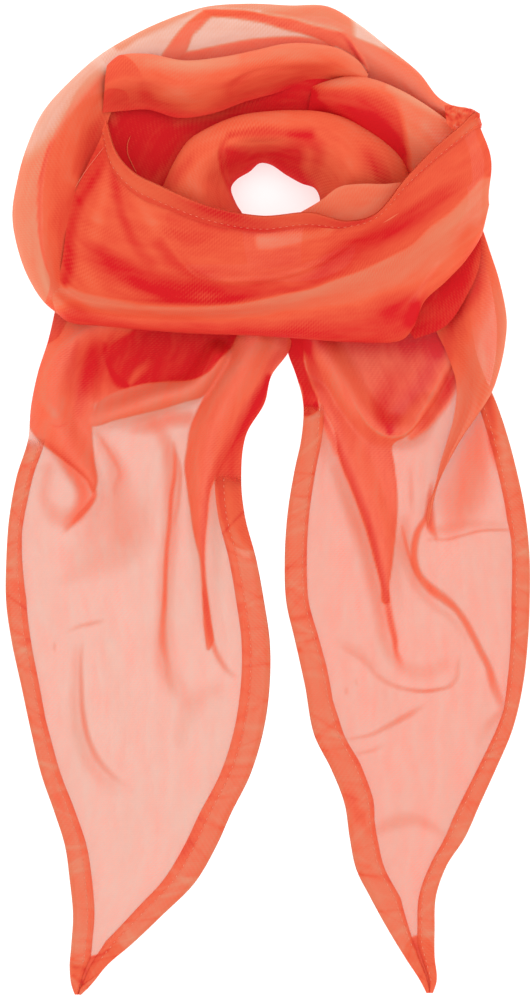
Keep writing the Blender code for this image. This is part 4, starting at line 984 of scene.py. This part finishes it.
def roll_surface(table):
    """Grid of points, one row for each section, over a rolled stretch of cloth."""
    rows = smooth(table, SECTION_STEP)
    crest, foot, edge = rows[:, 4:].T
    outer_across, outer_height = roll_outer_side()
    inner_across, inner_height = roll_inner_side()
    plan = blend(rows[:, :2], rows[:, 2:4], np.concatenate([outer_across, inner_across]))
    height = np.concatenate([blend(foot, crest, outer_height), blend(edge, crest, inner_height)], axis=1)
    return raised(plan, np.maximum(height, 0.0))


def sheet_surface(table):
    """Grid over a plain stretch that slopes from its outer edge to its inner one."""
    rows = smooth(table, SECTION_STEP)
    share = np.linspace(0.0, 1.0, SHEET_STEPS + 1)
    settled = 0.5 - 0.5 * np.cos(np.pi * share)
    return raised(blend(rows[:, :2], rows[:, 3:5], share), blend(rows[:, 2], rows[:, 5], settled))


def front_loop_surface():
    """The front stretch: from its hemmed edge down into the valley, then up over the roll and under it."""
    rows = smooth(FRONT_LOOP, SECTION_STEP)
    hem, valley, rim = rows[:, :2], rows[:, 3:5], rows[:, 6:8]
    hem_height, valley_height = rows[:, 2], rows[:, 5]
    crest, foot, bow = rows[:, 8:].T
    share = np.linspace(0.0, 1.0, FRONT_SLOPE_STEPS + 1)
    fall = (1 - share) ** FRONT_SLOPE_POWER
    slope = raised(blend(hem, valley, share), blend(valley_height, hem_height, fall))
    slope[..., 0] += bow[:, None] * np.sin(np.pi * share) ** 2
    outer_across, outer_height = (side[::-1] for side in roll_outer_side())
    inner_across, inner_height = (side[-2::-1] for side in roll_inner_side())
    height = [blend(valley_height, crest, inner_height), blend(foot, crest, outer_height)]
    plan = blend(rim, valley, np.concatenate([inner_across, outer_across]))
    return np.concatenate([slope, raised(plan, np.concatenate(height, axis=1))], axis=1)


def core_surface():
    """The hidden turns: a low ring whose sides show the edges of its layers."""
    rows = smooth(CORE + CORE[:1], SECTION_STEP)
    outer, inner = rows[:, :2], rows[:, 2:]
    inward = unit(inner - outer)
    heights = np.linspace(0.0, CORE_TOP, CORE_LAYERS * CORE_LAYER_STEPS + 1)
    bulge = CORE_BULGE * np.abs(np.sin(np.pi * heights * CORE_LAYERS / CORE_TOP))
    rounding = np.maximum(heights - (CORE_TOP - CORE_ROUNDING), 0.0) ** 2 * 0.5
    sides = list(zip(rounding - bulge, heights))
    loops = [(outer + inward * in_by, height) for in_by, height in sides]
    loops += [(inner - inward * in_by, height) for in_by, height in sides[::-1]]
    return np.stack([raised(plan, np.full(len(plan), height)) for plan, height in loops], axis=1)


def normals(grid):
    """Unit normals of a grid, pointing up on the whole."""
    normal = np.cross(np.gradient(grid, axis=1), np.gradient(grid, axis=0))
    normal /= np.maximum(np.linalg.norm(normal, axis=-1, keepdims=True), 1e-9)
    return normal * np.sign(normal[..., 2].mean())


def nearest(points, line):
    """For each point, its distance from a line of points and how many of these come before the place."""
    reach = np.diff(line, axis=0)
    offset = points[:, None, :] - line[None, :-1, :]
    share = np.clip((offset * reach).sum(axis=-1) / (reach**2).sum(axis=-1), 0.0, 1.0)
    away = np.linalg.norm(offset - share[..., None] * reach, axis=-1)
    near = away.argmin(axis=1)
    every = np.arange(len(points))
    return away[every, near], near + share[every, near]


def inside(points, outline):
    """Which points lie inside a closed line of points."""
    start, end = outline[:-1], outline[1:]
    x, y = points[:, :1], points[:, 1:]
    beside = (start[:, 1] > y) != (end[:, 1] > y)
    rise = np.where(end[:, 1] == start[:, 1], 1.0, end[:, 1] - start[:, 1])
    crossing = start[:, 0] + (end[:, 0] - start[:, 0]) * (y - start[:, 1]) / rise
    return (beside & (x < crossing)).sum(axis=1) % 2 == 1


def close_to(flat, line, reach):
    """Which points lie in the box of a line, widened by reach."""
    return ((flat > line.min(axis=0) - reach) & (flat < line.max(axis=0) + reach)).all(axis=1)


def crease(points, rows):
    """What one crease adds at each point, in one column for each of its values after the half width."""
    read = smooth(rows, LINE_STEP)
    flat = points[..., :2].reshape(-1, 2)
    chosen = close_to(flat, read[:, :2], read[:, 2].max())
    added = np.zeros((len(flat), read.shape[1] - 3))
    if chosen.any():
        distance, place = nearest(flat[chosen], read[:, :2])
        values = read_at(place, np.arange(len(read)), read[:, 2:])
        profile = 0.5 + 0.5 * np.cos(np.pi * np.clip(distance / values[:, 0], 0.0, 1.0))
        added[chosen] = values[:, 1:] * profile[:, None]
    return added.reshape(*points.shape[:-1], -1)


def patch(points, outline, edge, height=0.0, rounding=1.0):
    """(cover, rise): how much a patch covers each point, and its height there."""
    outline = smooth(outline, LINE_STEP, loop=True)
    flat = points[..., :2].reshape(-1, 2)
    chosen = close_to(flat, outline, edge)
    depth = np.full(len(flat), -float(edge))
    if chosen.any():
        distance = nearest(flat[chosen], outline)[0]
        depth[chosen] = np.where(inside(flat[chosen], outline), distance, -distance)
    depth = depth.reshape(points.shape[:-1])
    rounded = 1 - np.clip(depth / rounding, 0.0, 1.0)
    return np.clip(0.5 + depth / edge, 0.0, 1.0), height * np.sqrt(1 - rounded**2)


def dress(points, layers, tone, drawn):
    """(rise, layers, tone) at each point, with a stretch's patches, creases, shades and folds drawn on."""
    rise, layers, tone = (np.zeros(points.shape[:-1]) + value for value in (0.0, layers, tone))
    for (own_layers, own_tone, *form), outline in drawn.get("patches", {}).values():
        cover, height = patch(points, outline, *form)
        layers += (own_layers - layers) * cover
        tone += (own_tone - tone) * cover
        rise = np.maximum(rise, height)
    for rows in drawn.get("creases", {}).values():
        height, more, deeper = np.moveaxis(crease(points, rows), -1, 0)
        rise, layers, tone = rise + height, layers + more, tone + deeper
    for rows in drawn.get("shades", {}).values():
        tone += crease(points, rows)[..., 0]
    for rows in drawn.get("folds", {}).values():
        rise += crease(points, rows)[..., 0]
    return rise, np.maximum(layers, LEAST_LAYERS), tone


def even(values, times):
    """A grid of values, each averaged with its neighbours both ways."""
    for _ in range(2 * times):
        edged = np.pad(values, ((1, 1), (0, 0)), mode="edge")
        values = (0.25 * edged[:-2] + 0.5 * edged[1:-1] + 0.25 * edged[2:]).T
    return values


def ridge_height(points, ridges):
    """Height of a tail's main folds at each point."""
    heights = [crease(points, line)[..., 0] for line in ridges.values()]
    return FOLD_RISE * np.max(heights, axis=0, initial=0.0)


def tail_edges(side):
    """The left and the right edge of a tail, as points of the plan down its length."""
    rows = smooth(side["table"], TAIL_STEP)
    return rows[:, :2], rows[:, 2:]


def tail_surface(side):
    """(grid, layers, tone) of one tail, flat on the surface but for its folds and creases."""
    left, right = tail_edges(side)
    widest = np.linalg.norm(right - left, axis=1).max()
    plan = blend(left, right, np.linspace(0.0, 1.0, round(widest / ACROSS_STEP) + 1))
    height = even(ridge_height(plan, side["ridges"]), RIDGE_EVENINGS)
    rise, layers, tone = dress(plan, side["single_layers"], 0.0, side["drawn"])
    paler = side["single_tone"] * np.clip((FULL_LAYERS - layers) / (FULL_LAYERS - 1), 0.0, 1.0)
    return raised(plan, np.maximum(height + rise, 0.0) + SHEET_LIFT), layers, tone + paler


def puckers(length, width, along, across, random):
    """Height of the small slanting wrinkles of a hem at (along, across) in mm."""
    count = round(length / PUCKER_SPACING)
    places = random.uniform(0.0, length, count)
    sizes = random.uniform(-1.0, 1.0, count) * PUCKER_HEIGHT
    widths = random.uniform(*PUCKER_SPREAD, count) * PUCKER_HALF_WIDTH
    slants = random.uniform(-1.0, 1.0, count) * PUCKER_SLANT
    phase = along[..., None] - places - slants * (across - width / 2)[..., None]
    return (sizes * np.exp(-((phase / widths) ** 2))).sum(axis=-1)


def hem_surface(side, hem, random):
    """Grid over one hem of a tail, from its outer edge inwards, and its tone."""
    start, end = tail_edges(side) if hem["at_left"] else tail_edges(side)[::-1]
    y, widths = np.array(hem["widths"], float)[::-1].T
    breadth = np.linalg.norm(end - start, axis=1)
    share = np.minimum(np.interp(start[:, 1], y, widths) / breadth, HEM_SHARE_AT_TIP)
    steps = np.linspace(0.0, 1.0, HEM_STEPS + 1)
    plan = start[:, None, :] + (end - start)[:, None, :] * (share[:, None] * steps[None, :])[..., None]
    along = distances(start)
    width = widths.mean()
    alongs, acrosses = np.broadcast_arrays(along[:, None], width * steps)
    wrinkle = puckers(along[-1], width, alongs, acrosses, random)
    rise, layers, tone = dress(plan, side["single_layers"], 0.0, side["drawn"])
    lying = np.clip((1 - steps) * width / HEM_SLOPE, 0.0, 1.0) ** 0.5
    height = np.maximum(ridge_height(plan, side["ridges"]) + rise, 0.0)
    height += SHEET_LIFT + HEM_LIFT + lying * (wrinkle + PUCKER_HEIGHT + LAYER_GAP - HEM_LIFT)
    seen = start[:, 1] < hem["top"]
    tone = DRAWN_SHARE * tone + LAYERS_SHARE * (layers - 1) - WRINKLE_SHARE * wrinkle
    return raised(plan, height)[seen], tone[seen]


def add_node(tree, kind, inputs, **settings):
    """A new node with its inputs linked to other nodes' outputs, or set to plain values."""
    made = tree.nodes.new(f"ShaderNode{kind}")
    for name, value in settings.items():
        setattr(made, name, value)
    for place, value in inputs.items():
        if isinstance(value, bpy.types.NodeSocket):
            tree.links.new(value, made.inputs[place])
        else:
            made.inputs[place].default_value = value
    return made


def add_material(name, **values):
    """A new material's node tree and its shader, with the shader's plain values set."""
    made = bpy.data.materials.new(name)
    made.use_nodes = True
    shader = made.node_tree.nodes["Principled BSDF"]
    for title, value in values.items():
        shader.inputs[title.replace("_", " ")].default_value = value
    return made, shader


def cloth_material(name, pale):
    """Woven chiffon: opacity from the layers value, colour from the tone value, threads both ways."""
    made, shader = add_material(name, Roughness=0.62, Specular_IOR_Level=0.04)
    tree = made.node_tree

    def attribute(title, output="Fac"):
        return add_node(tree, "Attribute", {}, attribute_name=title).outputs[output]

    def math(operation, first, second):
        return add_node(tree, "Math", {0: first, 1: second}, operation=operation).outputs[0]

    def mix(factor, first, second):
        colours = {"Factor": factor, "A": first, "B": second}
        return add_node(tree, "Mix", colours, data_type="RGBA", clamp_factor=True).outputs["Result"]

    def noise(scale, detail, roughness):
        values = {"Scale": scale, "Detail": detail, "Roughness": roughness, "Vector": stretched}
        return add_node(tree, "TexNoise", values).outputs["Fac"]

    threads = attribute("threads", "Vector")
    wave = {"Scale": WAVE_SCALE, "Distortion": 0.6, "Detail": 1.0, "Detail Scale": 0.4, "Vector": threads}
    waves = [add_node(tree, "TexWave", wave, bands_direction=axis) for axis in ("X", "DIAGONAL")]
    weave = math("MULTIPLY", math("ADD", *(made_wave.outputs["Fac"] for made_wave in waves)), 0.5)
    stretch = add_node(tree, "VectorMath", {0: threads, 1: ALONG_THREADS}, operation="MULTIPLY")
    stretched = stretch.outputs["Vector"]
    uneven = math("SUBTRACT", noise(SLUB_SCALE, 5.0, 0.65), 0.5)
    drag = noise(DRAG_SCALE, 3.0, 0.5)
    dragged = math("MULTIPLY", math("SUBTRACT", drag, 0.5), DRAG_TONE)

    # The weave shows only where the drag is strong.
    showing = math("MULTIPLY", math("POWER", drag, SHOWING_POWER), SHOWING_GAIN)
    grain = math("MULTIPLY", math("MULTIPLY", math("SUBTRACT", weave, 0.5), WEAVE_TONE), showing)
    uneven_tone = math("ADD", dragged, math("ADD", math("MULTIPLY", uneven, SLUB_TONE), grain))
    tone = math("ADD", attribute("tone"), uneven_tone)
    # Tone runs sheer, pale, coral, deep: painted highlights lean pale and painted shade leans deep.
    pale_side = mix(math("ADD", tone, 2.0), SHEER_CORAL, pale)
    light_side = mix(math("ADD", tone, 1.0), pale_side, CORAL)
    tree.links.new(mix(tone, light_side, SHADED_DEEP_CORAL), shader.inputs["Base Color"])

    thick = math("ADD", math("MULTIPLY", uneven, SLUB_DENSITY), math("MULTIPLY", weave, WEAVE_DENSITY))
    layers = math("MULTIPLY", attribute("layers"), math("ADD", PLAIN_DENSITY, thick))
    tree.links.new(math("SUBTRACT", 1.0, math("POWER", LET_THROUGH, layers)), shader.inputs["Alpha"])
    bump = add_node(tree, "Bump", {"Strength": 0.25, "Distance": 0.00015, "Height": weave})
    tree.links.new(bump.outputs["Normal"], shader.inputs["Normal"])


def thread_material():
    """Sewing thread, a little lighter than the cloth, with fine ply bands."""
    made, shader = add_material("coral_thread", Roughness=0.5)
    tree = made.node_tree
    places = add_node(tree, "TexCoord", {}).outputs["Object"]
    ply = add_node(tree, "TexNoise", {"Scale": 900.0, "Vector": places}).outputs["Fac"]
    share = add_node(tree, "Math", {0: ply, 1: 0.25}, operation="ADD", use_clamp=True).outputs[0]
    colour = add_node(tree, "Mix", {"Factor": share, "A": CORAL, "B": THREAD_CORAL}, data_type="RGBA")
    tree.links.new(colour.outputs["Result"], shader.inputs["Base Color"])


def add_mesh(name, points, faces, material):
    """A smooth-shaded mesh through points in millimetres, on the scarf's one body."""
    mesh = bpy.data.meshes.new(name)
    mesh.from_pydata((points.reshape(-1, 3) * MM).tolist(), [], faces.tolist())
    mesh.update()
    mesh.shade_smooth()
    mesh.materials.append(bpy.data.materials[material])
    made = bpy.data.objects.new(name, mesh)
    bpy.data.collections[COLLECTION].objects.link(made)
    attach(made, "root")
    return made


def add_cloth(name, grid, material, layers=1.0, tone=0.0, closed=False, replaces=(), slot="chiffon"):
    """A shell through a grid of points, whose columns join up again if it is closed."""
    rows, across = grid.shape[:2]
    row = np.arange(rows - 1)[:, None] * across
    column = np.arange(across if closed else across - 1)[None, :]
    beside = (column + 1) % across
    corners = [row + column, row + beside, row + across + beside, row + across + column]
    faces = np.stack(corners, axis=-1).reshape(-1, 4)
    if np.cross(np.gradient(grid, axis=1), np.gradient(grid, axis=0))[..., 2].mean() < 0:
        faces = faces[:, ::-1]
    made = add_mesh(name, grid, faces, material)
    if replaces:
        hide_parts(*replaces)
    along = distances(grid).mean(axis=1, keepdims=True) + np.zeros((rows, across))
    aside = distances(grid, axis=1)
    threads = np.stack([along, aside - aside.mean(axis=1, keepdims=True), 0 * along], axis=-1)
    for title, values in (("layers", layers), ("tone", tone)):
        kept = made.data.attributes.new(title, "FLOAT", "POINT")
        kept.data.foreach_set("value", np.broadcast_to(values, (rows, across)).astype(np.float32).ravel())
    kept = made.data.attributes.new("threads", "FLOAT_VECTOR", "POINT")
    kept.data.foreach_set("vector", threads.astype(np.float32).ravel())
    return made


def add_stitches(name, line, width):
    """A row of short raised threads along a line of points, each a small spindle with a four-sided waist."""
    places = distances(line)
    starts = np.arange(STITCH_GAP, places[-1] - STITCH_LENGTH, STITCH_LENGTH + STITCH_GAP)
    begin, middle, end = [read_at(starts + part * STITCH_LENGTH, places, line) for part in (0.0, 0.5, 1.0)]
    ahead = unit(end - begin)
    aside = unit(np.cross(ahead, UPWARD))
    waist = [offset * width / 2 for offset in (aside, np.cross(aside, ahead))]
    ring = [middle + sign * offset for sign in (1, -1) for offset in waist]
    points = np.stack([begin, *ring, end], axis=1)
    around = [(corner + 1, (corner + 1) % 4 + 1) for corner in range(4)]
    spindle = [(0, two, one) for one, two in around] + [(5, one, two) for one, two in around]
    firsts = np.arange(len(points))[:, None, None] * points.shape[1]
    return add_mesh(name, points, (firsts + np.array(spindle)).reshape(-1, 3), "coral_thread")


def leaning(grid):
    """How much denser a sheet looks from above where it leans."""
    return 1.0 / np.clip(np.abs(normals(grid)[..., 2]), STEEPEST, 1.0)


def edge_strip(grid):
    """The front hem's points: the first few millimetres of each row, as wide as the hem is there."""
    x, widths = np.array(FRONT_HEM, float).T
    lifted = grid + LAYER_GAP * normals(grid)
    steps = np.linspace(0.0, 1.0, HEM_STEPS + 1)
    rows = zip(lifted, distances(lifted, axis=1))
    return np.array([read_at(np.interp(row[0, 0], x, widths) * steps, places, row) for row, places in rows])


def fold_under(values):
    """A grid on a hem, with the part that is folded under its outer edge in front."""
    return np.concatenate([values[:, FOLDED_UNDER_STEPS:0:-1], values], axis=1)


def folded_band(grid):
    """A hem's band on its points: from the underside over the folded outer edge to the inner edge."""
    share = np.linspace(0.0, 1.0, grid.shape[1])
    swell = np.sqrt(np.clip(1 - (2 * share - 1) ** 6, 0.0, 1.0)) * np.clip(6 - 6 * share, 0.0, 1.0)
    top = grid + (HEM_THICKNESS * swell)[None, :, None] * normals(grid)
    return np.concatenate([grid[:, FOLDED_UNDER_STEPS:0:-1], top], axis=1)


def add_hem(name, grid, width, inset, layers, tone, stitch=STITCH_WIDTH, ends=0.0, fade=0.0):
    """A hem's band, darker where it is folded in, and its stitches. Returns both."""
    steps = np.linspace(0.0, width, grid.shape[1])
    stitched = width - inset
    folded = np.clip((steps - stitched) / FOLD_EDGE + 0.5, 0.0, 1.0)[None, :]
    rim = np.clip(1 - steps / RIM_WIDTH, 0.0, 1.0)[None, :]
    shade = tone + FOLDED_TONE * folded + RIM_TONE * rim
    density = (layers + FOLDED_LAYERS * folded) * np.ones_like(shade)
    if fade:
        density = density * np.clip(np.arange(len(grid))[:, None] * TAIL_STEP / fade, 0.0, 1.0)
    band = add_cloth(
        f"{name}_band", folded_band(grid), "coral_hem", layers=fold_under(density), tone=fold_under(shade),
        replaces=[name], slot="hem",
    )
    column = int(np.argmin(np.abs(steps - stitched)))
    line = grid[:, column] + (HEM_THICKNESS + STITCH_LIFT) * normals(grid)[:, column]
    kept = line[: len(line) - round(ends / TAIL_STEP)]
    return [band, add_stitches(f"{name}_stitches", kept, stitch)]


def add_tail(name, side, random):
    """One tail's cloth with its two hems."""
    grid, layers, tone = tail_surface(side)
    tail = add_cloth(
        f"{name}_cloth", grid, "coral_single_sheet", layers=layers * leaning(grid), tone=tone, replaces=[name]
    )
    pieces = []
    for title in side["hems"]:
        hem = HEMS[title]
        band, deeper = hem_surface(side, hem, random)
        pieces += add_hem(
            title, band, hem["band"], hem["inset"], HEM_LAYERS, HEM_TONE + deeper, ends=hem["ends"],
            fade=HEM_FADE,
        )


def resting(line, grids, lift):
    """A plan line with a height added: lift above the highest points of the grids beside it."""
    points = np.concatenate([grid.reshape(-1, 3) for grid in grids])
    points = points[close_to(points[:, :2], line, 2 * CORD_REACH)]
    away = np.linalg.norm(line[:, None, :2] - points[None, :, :2], axis=-1)
    top = np.where(away < CORD_REACH, points[None, :, 2], 0.0).max(axis=1)
    return raised(line, np.convolve(np.pad(top, 2, mode="edge"), np.full(5, 0.2), mode="valid") + lift)


def add_cord(name, rows, radius, material, grids, **values):
    """A round cord along a smooth line on the cloth."""
    line = resting(smooth(rows, CORD_STEP), grids, radius)
    ahead = unit(np.gradient(line, axis=0))
    aside = np.cross(ahead, UPWARD)
    turn = np.linspace(0.0, 2 * np.pi, CORD_SIDES, endpoint=False)[None, :, None]
    ends = np.sqrt(np.clip(1 - np.linspace(-1, 1, len(line)) ** 8, 0.05, 1.0))[:, None, None]
    ring = aside[:, None] * np.cos(turn) + np.cross(aside, ahead)[:, None] * np.sin(turn)
    add_cloth(name, line[:, None] + radius * ends * ring, material, closed=True, slot="hem", **values)


def twist_surface(random):
    """(grid, tone) of the crumpled end of the front hem, between its far and its near edge."""
    far, near = smooth(TWIST_FAR, TWIST_STEP), smooth(TWIST_NEAR, TWIST_STEP)
    near = read_at(np.linspace(0.0, 1.0, len(far)), np.linspace(0.0, 1.0, len(near)), near)
    grid = blend(far, near, np.linspace(0.0, 1.0, TWIST_COLUMNS))
    crumple = np.zeros(grid.shape[:2])
    for _ in range(TWIST_CRUMPLES):
        place = grid[random.integers(len(grid)), random.integers(TWIST_COLUMNS), :2]
        angle = random.uniform(0, np.pi)
        offset = (grid[..., :2] - place) @ [np.cos(angle), np.sin(angle)]
        reach = np.linalg.norm(grid[..., :2] - place, axis=-1)
        size = random.uniform(-1, 1)
        crumple += size * np.exp(-((offset / CRUMPLE_WIDTH) ** 2) - (reach / CRUMPLE_LENGTH) ** 2)
    grid[..., 2] += CRUMPLE_HEIGHT * crumple
    # The crumples are painted light and shade: paler where they rise, deeper where they sink.
    return grid, TWIST_TONE - CRUMPLE_TONE * crumple


def ring_stretches():
    """(grid, layers, tone, drawing) of each stretch of the ring, before its drawing is put on."""
    outer = roll_surface(OUTER_LOOP)
    left_end = np.array(OUTER_LOOP[LEFT_LOOP_ROWS - 1][:2])
    last = np.linalg.norm(outer[:, :, :2] - left_end, axis=-1).min(axis=1).argmin()
    both = {"patches": {**LEFT_DRESS["patches"], **BACK_DRESS["patches"]}}
    # Painted shade in the base tones: the pit in the ring and the fold under the front roll's end are deep.
    return {
        "right_shoulder": (roll_surface(RIGHT_SHOULDER), 2.4, -0.3, SHOULDER_DRESS),
        "left_loop": (outer[: last + 1], 3.4, -0.05, {**LEFT_DRESS, **both}),
        "back_loop": (outer[last:], 1.0, SINGLE_TONE, {**BACK_DRESS, **both}),
        "inner_turn": (sheet_surface(INNER_TURN), 6.0, 1.0, PIT_DRESS),
        "back_roll": (roll_surface(BACK_ROLL), 4.0, section_tone("back_roll"), BACK_ROLL_DRESS),
        "right_roll": (roll_surface(RIGHT_ROLL), 4.0, section_tone("right_roll"), RIGHT_ROLL_DRESS),
        "neck_roll": (roll_surface(NECK_ROLL), 5.0, section_tone("neck_roll"), NECK_DRESS),
        "neck_flap": (sheet_surface(NECK_FLAP), 5.0, -0.35, FLAP_DRESS),
        "lower_fold": (sheet_surface(LOWER_FOLD), 6.0, 0.85, LOWER_FOLD_DRESS),
        "front_loop": (front_loop_surface(), 4.0, 0.22, FRONT_DRESS),
    }


def build():
    """Adds the core, the tails and the ring with their hems, then the two fine lines."""
    bpy.context.scene.collection.children.link(bpy.data.collections.new(COLLECTION))
    for name, pale in CLOTHS.items():
        cloth_material(name, pale)
    thread_material()
    random = np.random.default_rng(SEED)
    hidden = core_surface()
    paleness = np.clip((hidden[..., 1] - PALE_FROM) / PALE_OVER, 0.0, 1.0)
    add_cloth(
        "folded_layers", hidden, "coral_folded_layers", layers=6.0, tone=0.6 - 1.6 * paleness,
        replaces=["core"], slot="folded_layers",
    )
    for name, side in TAILS.items():
        add_tail(name, side, random)
    shaped = {}
    for name, (plain, layers, tone, drawn) in ring_stretches().items():
        rise, layers, tone = dress(plain, layers, tone, drawn)
        grid = plain + rise[..., None] * normals(plain)
        grid[..., 2] = np.maximum(grid[..., 2], 0.0)
        shaped[name] = grid
        made = add_cloth(
            f"{name}_cloth", grid, "coral_chiffon", layers=layers * leaning(grid), tone=tone, replaces=[name]
        )
        pieces = []
        if name == "front_loop":
            band = edge_strip(grid[:-2])
            shade = dress(band, 0.0, FRONT_HEM_TONE, FRONT_HEM_DRESS)[2]
            pieces = add_hem(
                "front_hem", band, FRONT_HEM_WIDTH, FRONT_STITCH_INSET, FRONT_HEM_LAYERS, shade,
                stitch=FRONT_STITCH_WIDTH,
            )
            twist, crumpled = twist_surface(random)
            pieces.append(add_cloth("hem_twist", twist, "coral_hem", layers=3.0, tone=crumpled, slot="hem"))
    add_cord("far_hem_edge", FAR_HEM_EDGE, 0.3, "coral_hem", [shaped["inner_turn"]], layers=3.0, tone=-0.1)
    add_cord("loose_thread", LOOSE_THREAD, 0.12, "coral_thread", [shaped["left_loop"], shaped["front_loop"]])


def add_light(name, kind, place, target, strength, size, lit, blockers=None):
    """A light that shines only on the objects of the collection lit, with shadows of the blockers."""
    light = bpy.data.lights.new(name, kind)
    light.energy = strength
    setattr(light, "angle" if kind == "SUN" else "size", size)
    made = bpy.data.objects.new(name, light)
    made.location = place
    made.rotation_euler = (Vector(target) - Vector(place)).to_track_quat("-Z", "Y").to_euler()
    bpy.context.scene.collection.objects.link(made)
    made.light_linking.receiver_collection = lit
    if blockers:
        made.light_linking.blocker_collection = blockers


def add_floor():
    """The surface that the scarf lies on, in a collection of its own."""
    mesh = bpy.data.meshes.new("floor")
    half = FLOOR_SIZE / 2
    corners = [(-half, -half), (half, -half), (half, half), (-half, half)]
    mesh.from_pydata([(x, y, -FLOOR_DROP) for x, y in corners], [], [(0, 1, 2, 3)])
    paint, _ = add_material("floor", Base_Color=FLOOR_WHITE, Roughness=0.9)
    mesh.materials.append(paint)
    floor = bpy.data.objects.new("floor", mesh)
    ground = bpy.data.collections.new("ground")
    bpy.context.scene.collection.children.link(ground)
    ground.objects.link(floor)
    return ground


def add_stage():
    """A plain white surface, soft light from above the ring's back, and a camera looking straight down."""
    scene = bpy.context.scene
    scarf = bpy.data.collections[COLLECTION]
    ground = add_floor()
    add_light("key", "AREA", KEY_PLACE, KEY_TARGET, KEY_STRENGTH, 1.1, scarf)
    add_light("overhead", "SUN", SUN_PLACE, ORIGIN, OVERHEAD_STRENGTH, 0.5, scarf)
    add_light("ground_light", "SUN", SUN_PLACE, ORIGIN, GROUND_STRENGTH, 0.25, ground, ground)
    world = bpy.data.worlds.new("studio")
    world.use_nodes = True
    sky = world.node_tree.nodes["Background"].inputs
    sky["Color"].default_value = (1.0, 1.0, 1.0, 1.0)
    sky["Strength"].default_value = WORLD_STRENGTH
    scene.world = world
    camera = bpy.data.cameras.new("camera")
    camera.lens = CAMERA_LENS
    camera.sensor_width = CAMERA_SENSOR
    camera.clip_end = CAMERA_REACH
    made = bpy.data.objects.new("camera", camera)
    made.location = (*VIEW_CENTRE, CAMERA_HEIGHT)
    scene.collection.objects.link(made)
    scene.camera = made
    scene.view_settings.view_transform = "Standard"
    scene.cycles.transparent_max_bounces = 24
    scene.cycles.diffuse_bounces = 6


build()
add_stage()
